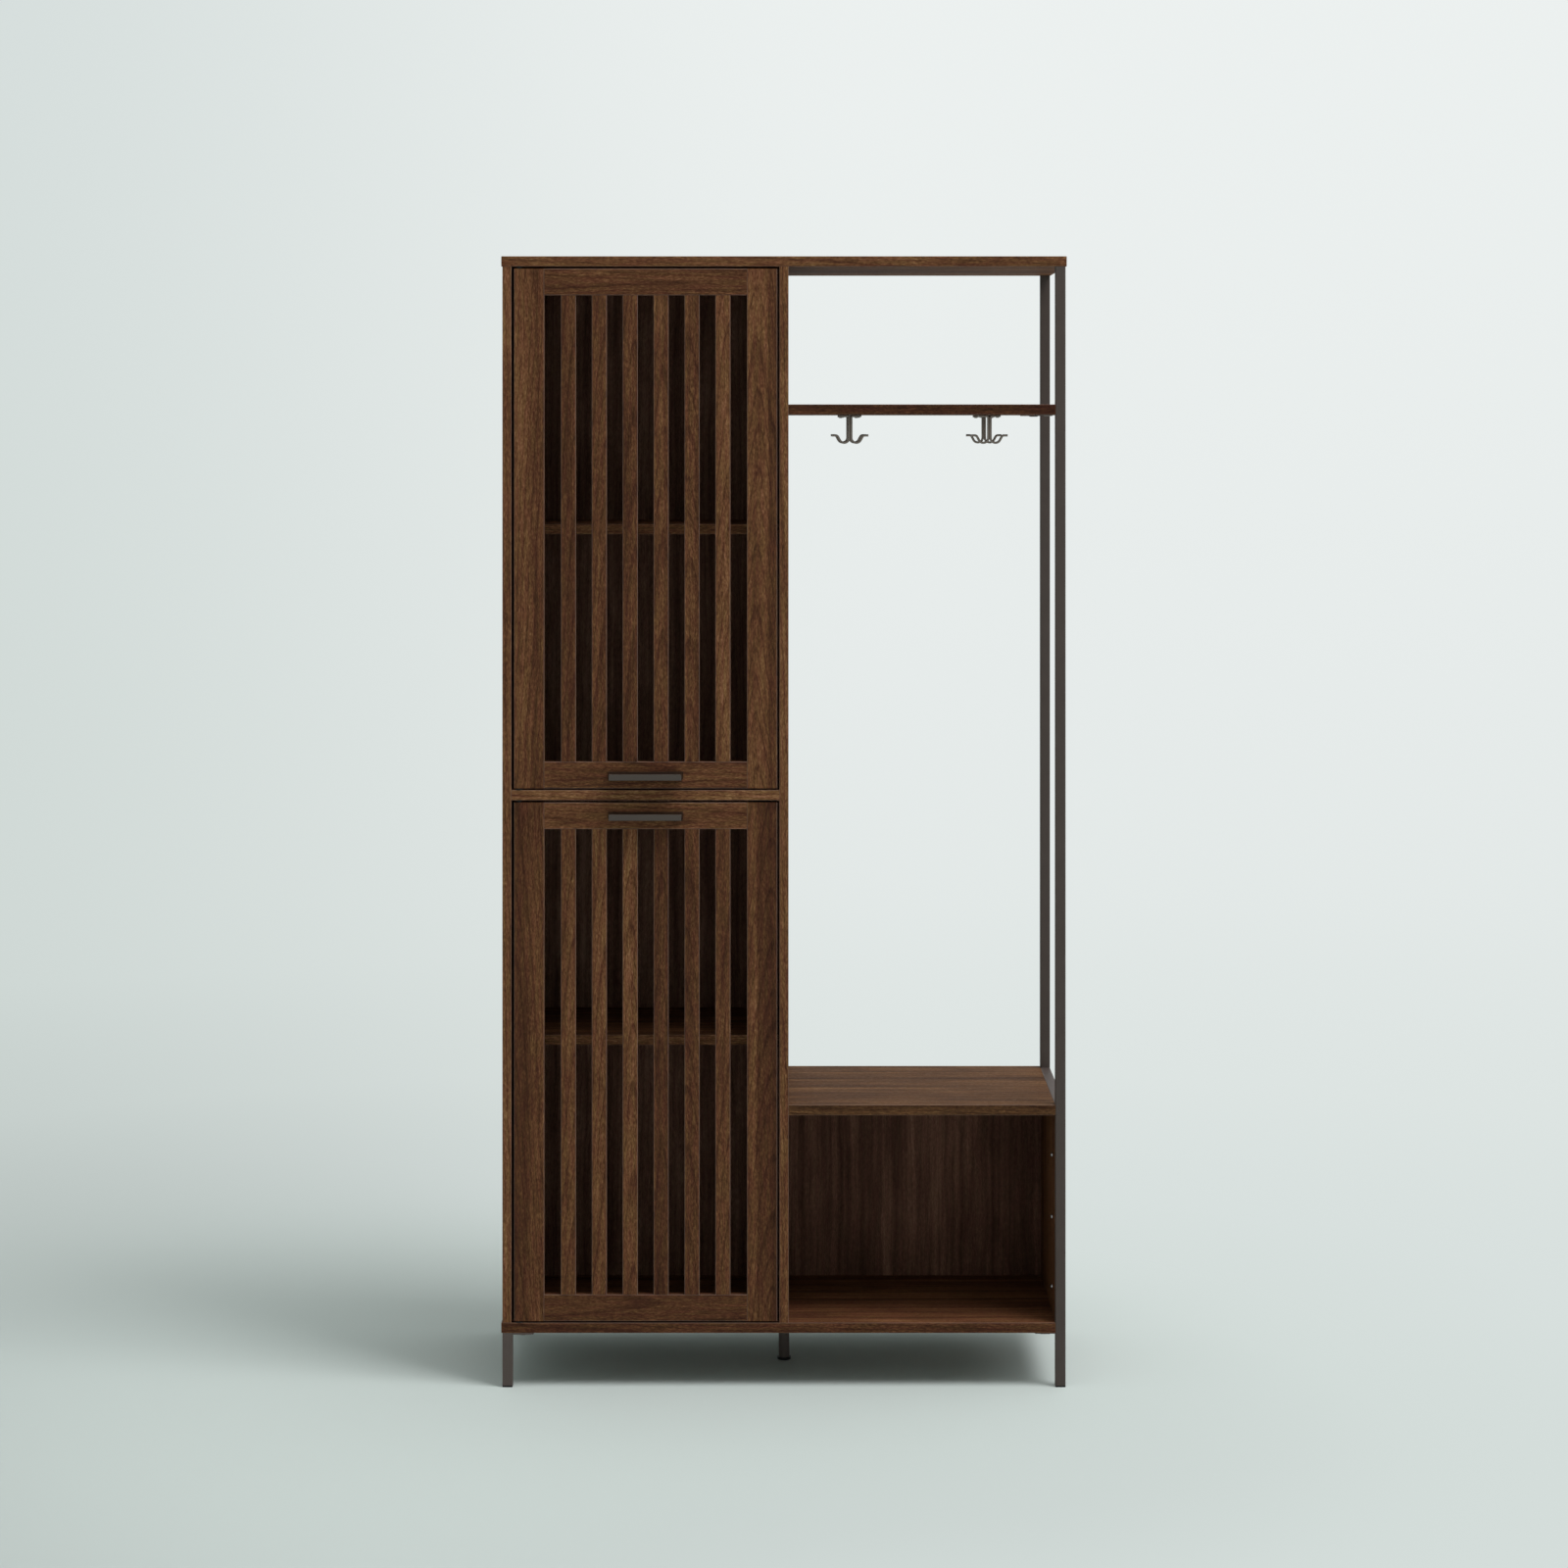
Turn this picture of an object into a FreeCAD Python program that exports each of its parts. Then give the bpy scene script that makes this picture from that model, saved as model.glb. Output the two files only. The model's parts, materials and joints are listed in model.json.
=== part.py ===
import FreeCAD, Part
import math
import os

# Hall tree in millimetres. X runs to the right, Y from front to back, Z up from the floor.
# The origin is on the floor, in the middle of the footprint, handles included.
# On the left stands a cabinet with two slatted doors, on the right a coat bay over a bench.
# A standing board is named by its thickness along X or Y, a lying board by its thickness along Z.

V = FreeCAD.Vector

# Overall size
overall_width = 1000.0
overall_height = 2000.0
body_depth = 400.0
leg_height = 96.0

# Boards
lying_board = 18.0
standing_board = 16.0
board_arris = 0.5
top_overhang = 2.0
back_panel_inset = 20.0

# Heights of the upper faces of the lying boards. The seat's is from the floor and the coat shelf's
# from the top. The middle panel's is a share of the overall height, and a shelf's of its cupboard.
seat_top = 499.0
coat_shelf_drop = 262.0
middle_panel_share = 0.528
upper_shelf_share = 0.5065
lower_shelf_share = 0.5422

# Lift-out shelves and the supports under them
shelf_setback = 50.0
shelf_gap = 0.5
support_inset = 40.0
support_width = 10.0
support_height = 12.0
support_reach = 8.0
support_sheet = 1.5
support_peg_radius = 2.5
support_peg_length = 8.0
support_peg_drop = 7.0

# Square steel tube of the frame and the left legs
tube_size = 18.0
tube_wall = 1.5
tube_corner = 1.5
end_plate = 3.0
spigot_radius = 3.0
spigot_length = 10.0

# Infill panel of the frame beside the bench, with its strap and screws
strap_thickness = 2.0
strap_width = 24.0
strap_depth = 80.0
side_screw_shares = (0.125, 0.466, 0.768)
side_screw_head_radius = 4.25
side_screw_head_height = 2.4
side_screw_radius = 2.0

# Welded tabs and their bolts
tab_length = 37.0
tab_thickness = 1.2
tab_corner = 5.0
coat_tab_bolt_reach = 12.3
leg_plate = 3.0
bolt_head_radius = 8.25
bolt_head_height = 1.5
bolt_radius = 3.0
bolt_grip = 9.0

# Feet
glide_height = 3.0
glide_plug_length = 12.0
glide_plug_wall = 2.0
glide_arris = 0.8
centre_leg_radius = 9.75
centre_foot_radius = 12.25
centre_foot_height = 5.0
stud_radius = 4.0
stud_length = 12.0

# Doors
door_thickness = 18.0
door_arris = 0.6
hinge_gap = 4.5
free_gap = 4.0
door_top_gap = 4.0
door_bottom_gap = 3.0
stile_width = 53.5
rail_height = 47.0
slat_count = 6
slat_width = 26.5
slat_thickness = 16.0
slat_pitch_share = 0.15244
tenon_thickness = 6.0
tenon_length = 10.0
tenon_shoulder = 4.0
joint_clearance = 0.1

# Pivot hinge: a pin in the door turns in a flanged bush in the board above or below
pivot_inset = 9.0
pivot_depth = 6.0
pivot_radius = 3.0
pivot_grip = 14.0
pivot_reach = 6.0
pivot_collar_radius = 4.5
pivot_collar = 1.5
running_clearance = 0.05
bush_radius = 5.0
bush_length = 7.5
bush_flange_radius = 7.0
bush_flange = 1.2

# Bar handle, bent from one bar, and its screws
handle_projection = 28.0
handle_length = 128.0
handle_height = 10.5
handle_thickness = 8.0
handle_bend = 2.0
handle_arris = 0.5
upper_handle_rise = 21.5
lower_handle_drop = 24.2
handle_screw_radius = 2.0
handle_screw_bite = 8.0
handle_screw_head_radius = 4.0
handle_screw_head_height = 2.5

# Magnetic catches on the middle panel and the strike plates on the doors
catch_width = 32.0
catch_depth = 16.0
catch_height = 14.0
catch_arris = 1.0
catch_ear_length = 9.0
catch_ear_thickness = 2.5
catch_pole_width = 6.0
catch_pole_depth = 2.0
catch_gap = 0.3
strike_width = 24.0
strike_height = 8.0
strike_thickness = 1.2
strike_inset = 6.5
strike_nail_radius = 1.2
strike_nail_length = 8.0

# Double coat hooks, two bent strips back to back
hook_spacing_x = 250.0
hook_spacing_y = 188.0
strip_thickness = 3.2
strip_width = 14.0
strip_arris = 0.5
hook_base_reach = 20.0
hook_stem_drop = 41.0
hook_top_bend = 2.8
hook_cup_radius = 8.9
hook_rise_angle = 62.0
hook_rise_length = 6.6
hook_lip_bend = 5.0
hook_lip_length = 7.0
hook_screw_reach = 14.5

# Pan-head wood screws of the hooks and catches
wood_screw_head_radius = 3.5
wood_screw_head_height = 2.2
wood_screw_radius = 1.7
wood_screw_length = 10.0

# Shared by all pieces
hole_clearance = 0.1
head_bevel_share = 0.6
tip_share = 0.3
quarter_turn = 90.0
overrun = 1.0
same_place = 1e-6

# Planes that the pieces share
front = (handle_projection - body_depth) / 2
back = front + body_depth
right = overall_width / 2 - top_overhang
left = -right
side_inner = left + standing_board
divider_half = standing_board / 2
post_inner = right - tube_size
top_low = overall_height - lying_board
bottom_top = leg_height + lying_board
middle_panel_top = overall_height * middle_panel_share
middle_low = middle_panel_top - lying_board
upper_shelf_top = middle_panel_top + (top_low - middle_panel_top) * upper_shelf_share
lower_shelf_top = bottom_top + (middle_low - bottom_top) * lower_shelf_share
seat_low = seat_top - lying_board
coat_shelf_top = overall_height - coat_shelf_drop
coat_shelf_low = coat_shelf_top - lying_board
back_panel_rear = back - back_panel_inset
back_panel_front = back_panel_rear - standing_board
front_tube = (front, front + tube_size)
rear_tube = (back - tube_size, back)
post_xs = (post_inner, right)
leg_xs = (left, left + tube_size)
cabinet_xs = (side_inner, -divider_half)
bay_xs = (divider_half, post_inner)
door_xs = (side_inner + hinge_gap, -divider_half - free_gap)
door_ys = (front, front + door_thickness)
door_back = front + door_thickness
pivot_x = door_xs[0] + pivot_inset
pivot_y = front + pivot_depth
upper_door_zs = (middle_panel_top + door_bottom_gap, top_low - door_top_gap)
lower_door_zs = (bottom_top + door_bottom_gap, middle_low - door_top_gap)
door_opening = door_xs[1] - door_xs[0] - stile_width * 2
slat_pitch = door_opening * slat_pitch_share
handle_x = (door_xs[0] + door_xs[1]) / 2
catch_x = door_xs[1] - stile_width / 2
hook_x = (bay_xs[0] + bay_xs[1]) / 2
body_middle_y = (front + back) / 2

up = V(0, 0, 1)
down = V(0, 0, -1)
rightward = V(1, 0, 0)
leftward = V(-1, 0, 0)
backward = V(0, 1, 0)
frontward = V(0, -1, 0)


def middle(span):
    """The middle of a (low, high) pair."""
    return (span[0] + span[1]) / 2


def grown(span, by):
    """A (low, high) pair moved outwards at both ends."""
    return (span[0] - by, span[1] + by)


def around(centre, size):
    """The (low, high) pair of a size that has this centre."""
    return (centre - size / 2, centre + size / 2)


def block(xs, ys, zs):
    """A box that spans three (low, high) pairs."""
    return Part.makeBox(xs[1] - xs[0], ys[1] - ys[0], zs[1] - zs[0], V(xs[0], ys[0], zs[0]))


def arrised(shape, arris):
    """A shape with all its edges broken by a small flat."""
    return shape.makeChamfer(arris, shape.Edges)


def board(xs, ys, zs):
    """A carcass board."""
    return arrised(block(xs, ys, zs), board_arris)


def edges_along(shape, axis):
    """The straight edges that run along a unit vector."""
    tangents = [(edge, edge.tangentAt(edge.FirstParameter)) for edge in shape.Edges]
    return [edge for edge, tangent in tangents if tangent.cross(axis).Length < same_place]


def turned(steps, start, axis):
    """A turned piece: (radius, length) steps, one after the other from start along axis."""
    cylinders = []
    for radius, length in steps:
        cylinders.append(Part.makeCylinder(radius, length, start, axis))
        start = start + axis * length
    return cylinders[0].multiFuse(cylinders[1:]).removeSplitter()


def bevelled_rim(shape, centre, bevel):
    """A shape with the circular edge round this centre taken off by a bevel."""
    circles = [edge for edge in shape.Edges if isinstance(edge.Curve, Part.Circle)]
    rim = [edge for edge in circles if edge.Curve.Center.isEqual(centre, same_place)]
    return shape.makeChamfer(bevel, rim)


def headed(head_radius, head_height, radius, length, seat, out):
    """A screw or bolt: its bevelled head stands out from the seat and its shank goes the other way."""
    head = Part.makeCylinder(head_radius, head_height, seat, out)
    head = bevelled_rim(head, seat + out * head_height, head_height * head_bevel_share)
    return head.fuse(Part.makeCylinder(radius, length, seat, out * -1)).removeSplitter()


def bored(shape, radius, mouth, inward, depth):
    """A shape with a round hole of this depth, cut from its mouth inwards."""
    start = mouth - inward * overrun
    return shape.cut(Part.makeCylinder(radius, depth + overrun, start, inward))


def square_tube(xs, ys, zs, axis):
    """A square tube that fills its three spans and is open at both ends along axis."""
    outer = block(xs, ys, zs)
    outer = outer.makeFillet(tube_corner, edges_along(outer, axis))
    spans = (xs, ys, zs)
    bore = [grown(span, overrun if along else -tube_wall) for span, along in zip(spans, axis)]
    return outer.cut(block(*bore))


def bent_bar(moves, thickness, width, start, along, sideways):
    """A flat bar bent in one plane and centred on its width.

    start is the middle of the bar's first end, along its first direction and sideways the
    direction that a positive turn leads to. A move is (length, 0) for a run or (radius, turn)
    for a bend, with the turn in degrees.
    """
    normal = along.cross(sideways)
    inner, outer = [], []
    point, heading = start, along
    for size, turn in moves:
        side = normal.cross(heading) * (thickness / 2)
        if turn:
            centre = point + normal.cross(heading) * math.copysign(size, turn)
            swing = [FreeCAD.Rotation(normal, turn / 2), FreeCAD.Rotation(normal, turn)]
            for edges, offset in ((inner, side), (outer, side * -1)):
                arm = point + offset - centre
                edges.append(Part.Arc(centre + arm, *[centre + r.multVec(arm) for r in swing]).toShape())
            point = centre + swing[1].multVec(point - centre)
            heading = swing[1].multVec(heading)
        else:
            for edges, offset in ((inner, side), (outer, side * -1)):
                edges.append(Part.makeLine(point + offset, point + offset + heading * size))
            point = point + heading * size
    side = normal.cross(heading) * (thickness / 2)
    first = along.cross(normal) * (thickness / 2)
    ends = [Part.makeLine(start + first, start - first), Part.makeLine(point + side, point - side)]
    outline = Part.Wire(Part.sortEdges(inner + outer + ends)[0])
    outline.translate(normal * (-width / 2))
    return Part.Face(outline).extrude(normal * width)


def top_panel():
    """Board over the cabinet and the bay, with sockets for the posts' spigots and a pivot bush."""
    shape = board((-overall_width / 2, overall_width / 2), (front, back), (top_low, overall_height))
    for ys in (front_tube, rear_tube):
        mouth = V(middle(post_xs), middle(ys), top_low)
        shape = bored(shape, spigot_radius + hole_clearance, mouth, up, spigot_length + hole_clearance)
    return bush_socket(shape, top_low, up)


def bottom_panel():
    """Board under the cabinet and the bench, ending at the posts."""
    shape = board((-overall_width / 2, post_inner), (front, back), (leg_height, bottom_top))
    stud_mouth = V(0, body_middle_y, leg_height)
    shape = bored(shape, stud_radius + hole_clearance, stud_mouth, up, stud_length + hole_clearance)
    for x, y in leg_bolt_places():
        mouth = V(x, y, leg_height)
        shape = bored(shape, bolt_radius + hole_clearance, mouth, up, bolt_grip + hole_clearance)
    return bush_socket(shape, bottom_top, down)


def leg_bolt_places():
    """Where the bolts of the left legs and of the lower tabs go up into the bottom panel."""
    xs = (leg_xs[1] + tab_length / 2, post_inner - tab_length / 2)
    return [(x, middle(ys)) for x in xs for ys in (front_tube, rear_tube)]


def coat_bolt_places():
    """Where the bolts of the upper tabs go up into the coat shelf."""
    return [(post_inner - coat_tab_bolt_reach, middle(ys)) for ys in (front_tube, rear_tube)]


def bush_socket(shape, z, inward):
    """A board with the blind hole that a pivot bush is pushed into."""
    mouth = V(pivot_x, pivot_y, z)
    return bored(shape, bush_radius + hole_clearance, mouth, inward, bush_length + hole_clearance)


def support_places():
    """The peg of each shelf support: its mouth in a wall, and the way into that wall."""
    ys = (front + shelf_setback + support_inset, back_panel_front - support_inset)
    walls = ((cabinet_xs[0], leftward), (cabinet_xs[1], rightward))
    lows = (upper_shelf_top - lying_board, lower_shelf_top - lying_board)
    return [(V(x, y, z), inward) for z in lows for y in ys for x, inward in walls]


def cabinet_wall(xs, face, inward):
    """A standing board of the cabinet, bored for the pegs on this face."""
    shape = board(xs, (front, back), (bottom_top, top_low))
    for mouth, way in support_places():
        if way == inward:
            peg = V(face, mouth.y, mouth.z - support_peg_drop)
            radius = support_peg_radius + hole_clearance
            shape = bored(shape, radius, peg, inward, support_peg_length + hole_clearance)
    return shape


def middle_panel():
    """Fixed board between the doors, with a bush above and below and the catches' screw holes."""
    shape = board(cabinet_xs, (front, back_panel_front), (middle_low, middle_panel_top))
    shape = bush_socket(shape, middle_panel_top, down)
    shape = bush_socket(shape, middle_low, up)
    depth = wood_screw_length - catch_ear_thickness + hole_clearance
    for x in catch_screw_xs():
        for z, inward in ((middle_panel_top, down), (middle_low, up)):
            shape = bored(shape, wood_screw_radius + hole_clearance, V(x, catch_y(), z), inward, depth)
    return shape


def lift_out_shelf(top):
    """A cabinet shelf that lies loose on its four supports."""
    ys = (front + shelf_setback, back_panel_front - shelf_gap)
    return board(grown(cabinet_xs, -shelf_gap), ys, (top - lying_board, top))


def shelf_support(corner, inward):
    """An angle that carries a shelf: a leaf on the wall, a leaf under the shelf and a peg."""
    out = inward.x * -1
    ys = around(corner.y, support_width)
    wall_xs = sorted((corner.x, corner.x + out * support_sheet))
    leaf_xs = sorted((corner.x, corner.x + out * support_reach))
    wall_leaf = block(wall_xs, ys, (corner.z - support_height, corner.z))
    shelf_leaf = block(leaf_xs, ys, (corner.z - support_sheet, corner.z))
    peg_start = V(wall_xs[0] if out < 0 else wall_xs[1], corner.y, corner.z - support_peg_drop)
    peg = Part.makeCylinder(support_peg_radius, support_peg_length + support_sheet, peg_start, inward)
    return wall_leaf.multiFuse([shelf_leaf, peg]).removeSplitter()


def back_panel(xs, top):
    """A back board between the bottom panel and the board over it."""
    return board(xs, (back_panel_front, back_panel_rear), (bottom_top, top))


def infill_panel():
    """Board in the frame beside the bench, with a through hole for each of its screws."""
    xs = (post_inner, right - strap_thickness)
    shape = board(xs, (front_tube[1], rear_tube[0]), (bottom_top, seat_low))
    for mouth in side_screw_places():
        shape = bored(shape, side_screw_radius + hole_clearance, mouth, rightward, tube_size)
    return shape


def side_screw_places():
    """Where the infill panel's screws enter its inner face."""
    bay = seat_low - bottom_top
    return [V(post_inner, front + strap_depth, bottom_top + share * bay) for share in side_screw_shares]


def frame_strap():
    """Flat bar behind the infill panel, level with the outside of the tubes, tapped for the screws."""
    xs = (right - strap_thickness, right)
    shape = block(xs, around(front + strap_depth, strap_width), (bottom_top, seat_low))
    for mouth in side_screw_places():
        shape = bored(shape, side_screw_radius + running_clearance, mouth, rightward, tube_size)
    return shape


def infill_screws():
    """The round-headed screws of the infill panel, as long as the frame is wide."""
    length = tube_size - tube_corner
    sizes = (side_screw_head_radius, side_screw_head_height, side_screw_radius, length)
    return [headed(*sizes, mouth, leftward) for mouth in side_screw_places()]


def coat_shelf():
    """Open shelf of the coat bay, bored underneath for the hooks' screws and the tabs' bolts."""
    shape = board(bay_xs, (front, back), (coat_shelf_low, coat_shelf_top))
    for x, y in coat_bolt_places():
        mouth = V(x, y, coat_shelf_low)
        shape = bored(shape, bolt_radius + hole_clearance, mouth, up, bolt_grip + hole_clearance)
    depth = wood_screw_length - strip_thickness + hole_clearance
    for x, y in hook_screw_places():
        shape = bored(shape, wood_screw_radius + hole_clearance, V(x, y, coat_shelf_low), up, depth)
    return shape


def post(ys):
    """Square post from the glide to the top panel, closed by an end plate with a spigot."""
    tube = square_tube(post_xs, ys, (glide_height, top_low), up)
    plate = block(grown(post_xs, -tube_wall), grown(ys, -tube_wall), (top_low - end_plate, top_low))
    spigot = Part.makeCylinder(spigot_radius, spigot_length, V(middle(post_xs), middle(ys), top_low))
    return tube.multiFuse([plate, spigot]).removeSplitter()


def rail_between_posts(top):
    """Square tube from post to post, its top at this height."""
    return square_tube(post_xs, (front_tube[1], rear_tube[0]), (top - tube_size, top), backward)


def tab(xs, ys, zs, free_x, bolt_x):
    """A flat tab with two rounded corners at its free end and a bolt hole."""
    shape = block(xs, ys, zs)
    uprights = edges_along(shape, up)
    corners = [edge for edge in uprights if abs(edge.Vertexes[0].Point.x - free_x) < same_place]
    shape = shape.makeFillet(tab_corner, corners)
    mouth = V(bolt_x, middle(ys), zs[0])
    return bored(shape, bolt_radius + hole_clearance, mouth, up, zs[1] - zs[0] + overrun)


def frame_tabs():
    """Tabs welded to the posts under the coat shelf and under the bottom panel."""
    tabs = []
    xs = (post_inner - tab_length, post_inner)
    for under, reach in ((coat_shelf_low, coat_tab_bolt_reach), (leg_height, tab_length / 2)):
        for ys in (front_tube, rear_tube):
            tabs.append(tab(xs, ys, (under - tab_thickness, under), xs[0], post_inner - reach))
    return tabs


def tab_bolts():
    """The washer-head bolts through the tabs and the leg plates, up into the boards."""
    bolts = []
    places = [(x, y, coat_shelf_low, tab_thickness) for x, y in coat_bolt_places()]
    for x, y in leg_bolt_places():
        places.append((x, y, leg_height, leg_plate if x < 0 else tab_thickness))
    for x, y, under, plate in places:
        sizes = (bolt_head_radius, bolt_head_height, bolt_radius, plate + bolt_grip)
        bolts.append(headed(*sizes, V(x, y, under - plate), down))
    return bolts


def left_leg(ys):
    """Short square leg with a bolted plate welded to its inner side, under the bottom panel."""
    tube = square_tube(leg_xs, ys, (glide_height, leg_height), up)
    plate_xs = (leg_xs[1], leg_xs[1] + tab_length)
    plate_zs = (leg_height - leg_plate, leg_height)
    plate = tab(plate_xs, ys, plate_zs, plate_xs[1], middle(plate_xs))
    return tube.fuse(plate).removeSplitter()


def centre_leg():
    """Round leg under the middle of the bottom panel, with an end plate and a stud."""
    length = leg_height - centre_foot_height
    base = V(0, body_middle_y, centre_foot_height)
    leg = turned([(centre_leg_radius, length), (stud_radius, stud_length)], base, up)
    return bored(leg, centre_leg_radius - tube_wall, base, up, length - end_plate)


def square_glide(xs, ys):
    """Plastic foot of a square tube, with a hollow plug inside the tube."""
    foot = arrised(block(xs, ys, (0, glide_height)), glide_arris)
    plug_gap = -tube_wall - hole_clearance
    plug_zs = (0, glide_height + glide_plug_length)
    plug = block(grown(xs, plug_gap), grown(ys, plug_gap), (glide_height / 2, plug_zs[1]))
    hollow_gap = plug_gap - glide_plug_wall
    hollow = block(grown(xs, hollow_gap), grown(ys, hollow_gap), (glide_height, plug_zs[1] + overrun))
    return foot.fuse(plug).removeSplitter().cut(hollow)


def centre_glide():
    """Round plastic foot of the centre leg, with a plug inside the leg."""
    plug_radius = centre_leg_radius - tube_wall - hole_clearance
    base = V(0, body_middle_y, 0)
    foot = turned([(centre_foot_radius, centre_foot_height), (plug_radius, glide_plug_length)], base, up)
    foot = bevelled_rim(foot, base, glide_arris)
    top = base + up * (centre_foot_height + glide_plug_length)
    return bored(foot, plug_radius - glide_plug_wall, top, down, glide_plug_length)


def glide_feet():
    """The feet of the four square tubes and of the centre leg."""
    feet = [square_glide(xs, ys) for xs in (leg_xs, post_xs) for ys in (front_tube, rear_tube)]
    return feet + [centre_glide()]


def hook_strip(x, y, way):
    """One half of a double hook: foot under the shelf, stem, cup, rise and lip in one bent strip.

    way is the direction that the foot and the lip point to.
    """
    start = V(x, y, coat_shelf_low - strip_thickness / 2) + way * hook_base_reach
    foot = hook_base_reach - strip_thickness / 2 - hook_top_bend
    stem = hook_stem_drop - strip_thickness / 2 - hook_top_bend
    moves = [
        (foot, 0),
        (hook_top_bend, quarter_turn),
        (stem, 0),
        (hook_cup_radius, quarter_turn + hook_rise_angle),
        (hook_rise_length, 0),
        (hook_lip_bend, -hook_rise_angle),
        (hook_lip_length, 0),
    ]
    shape = bent_bar(moves, strip_thickness, strip_width, start, way * -1, down)
    shape = arrised(shape, strip_arris)
    mouth = V(x, y, coat_shelf_low) + way * hook_screw_reach
    return bored(shape, wood_screw_radius + hole_clearance, mouth, down, strip_thickness + overrun)


def coat_hook(x, y):
    """A double hook: two strips welded together along the stem."""
    return hook_strip(x, y, leftward).fuse(hook_strip(x, y, rightward)).removeSplitter()


def hook_places():
    """The name and place of each hook on the coat shelf."""
    xs = (("left", hook_x - hook_spacing_x / 2), ("right", hook_x + hook_spacing_x / 2))
    ys = (("front", body_middle_y - hook_spacing_y / 2), ("rear", body_middle_y + hook_spacing_y / 2))
    return [(row + "_" + side, x, y) for row, y in ys for side, x in xs]


def hook_screw_places():
    """The places of the hooks' screws, two to a hook."""
    return [(x + way * hook_screw_reach, y) for _, x, y in hook_places() for way in (-1, 1)]


def catch_y():
    """The middle of a catch, counted from the door's back."""
    return door_back + strike_thickness + catch_gap + catch_depth / 2


def catch_screw_xs():
    """The screws' places along a catch, in the middle of its ears."""
    reach = (catch_width + catch_ear_length) / 2
    return (catch_x - reach, catch_x + reach)


def wood_screws():
    """The pan-head screws of the four hooks and the two catches."""
    sizes = (wood_screw_head_radius, wood_screw_head_height, wood_screw_radius, wood_screw_length)
    screws = [headed(*sizes, V(x, y, coat_shelf_low - strip_thickness), down) for x, y in hook_screw_places()]
    for x in catch_screw_xs():
        screws.append(headed(*sizes, V(x, catch_y(), middle_panel_top + catch_ear_thickness), up))
        screws.append(headed(*sizes, V(x, catch_y(), middle_low - catch_ear_thickness), down))
    return screws


def door_catch(z, out):
    """Magnetic catch on the middle panel: housing with two ears and a pair of steel poles."""
    ys = around(catch_y(), catch_depth)
    housing_zs = sorted((z, z + out * catch_height))
    ear_zs = sorted((z, z + out * catch_ear_thickness))
    housing = arrised(block(around(catch_x, catch_width), ys, housing_zs), catch_arris)
    slot_xs = around(catch_x, catch_width - catch_pole_width * 2)
    slot_zs = grown(housing_zs, -catch_pole_depth)
    housing = housing.cut(block(slot_xs, (ys[0] - overrun, ys[0] + catch_pole_depth), slot_zs))
    ears = block(around(catch_x, catch_width + catch_ear_length * 2), grown(ys, -catch_arris), ear_zs)
    shape = housing.fuse(ears).removeSplitter()
    way = V(0, 0, -out)
    for x in catch_screw_xs():
        mouth = V(x, catch_y(), z + out * catch_ear_thickness)
        shape = bored(shape, wood_screw_radius + hole_clearance, mouth, way, catch_ear_thickness + overrun)
    return shape


def pivot_bush(z, inward):
    """Flanged plastic bush, blind at its inner end, that a door's pin turns in."""
    seat = V(pivot_x, pivot_y, z)
    start = seat - inward * bush_flange
    shape = turned([(bush_flange_radius, bush_flange), (bush_radius, bush_length)], start, inward)
    bore_radius = pivot_radius + running_clearance
    return bored(shape, bore_radius, start, inward, bush_flange + pivot_reach + running_clearance * 2)


def pivot_bushes():
    """The bushes over and under each door."""
    seats = ((top_low, up), (middle_panel_top, down), (middle_low, up), (bottom_top, down))
    return [pivot_bush(z, inward) for z, inward in seats]


def pivot_pins(zs):
    """The pins at the two ends of a door's hinge stile, each with a collar outside the door."""
    pins = []
    for z, out, gap in ((zs[1], up, door_top_gap), (zs[0], down, door_bottom_gap)):
        start = V(pivot_x, pivot_y, z) - out * pivot_grip
        journal = gap - pivot_collar + pivot_reach
        steps = [(pivot_radius, pivot_grip), (pivot_collar_radius, pivot_collar), (pivot_radius, journal)]
        pin = turned(steps, start, out)
        tip = start + out * (pivot_grip + pivot_collar + journal)
        pins.append(bevelled_rim(pin, tip, pivot_radius * tip_share))
    return pins


def tenon_span(span):
    """The width of a tenon inside the width of the piece that it belongs to."""
    return grown(span, -tenon_shoulder)


def tenon_ys():
    """The thickness of every tenon, in the middle of the slats and so inside every member."""
    return around(front + slat_thickness / 2, tenon_thickness)


def hinge_stile(zs):
    """Stile on the hinge side, with mortises for the rails and a blind hole for each pin."""
    shape = stile((door_xs[0], door_xs[0] + stile_width), zs, rightward)
    radius = pivot_radius + running_clearance
    for z, inward in ((zs[0], up), (zs[1], down)):
        shape = bored(shape, radius, V(pivot_x, pivot_y, z), inward, pivot_grip + hole_clearance)
    return shape


def free_stile(zs, strike_z):
    """Stile on the opening side, with mortises for the rails and a hole for the strike's nail."""
    shape = stile((door_xs[1] - stile_width, door_xs[1]), zs, leftward)
    radius = strike_nail_radius + hole_clearance
    mouth = V(catch_x, door_back, strike_z)
    return bored(shape, radius, mouth, frontward, strike_nail_length + hole_clearance)


def stile(xs, zs, inner_way):
    """An upright member of the door's frame with a mortise for each rail in its inner edge."""
    shape = arrised(block(xs, door_ys, zs), door_arris)
    inner_x = xs[1] if inner_way.x > 0 else xs[0]
    reach = tenon_length + joint_clearance
    slot_xs = sorted((inner_x - inner_way.x * reach, inner_x + inner_way.x * overrun))
    for rail_zs in ((zs[0], zs[0] + rail_height), (zs[1] - rail_height, zs[1])):
        slot_zs = grown(tenon_span(rail_zs), joint_clearance)
        shape = shape.cut(block(slot_xs, grown(tenon_ys(), joint_clearance), slot_zs))
    return shape


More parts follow.
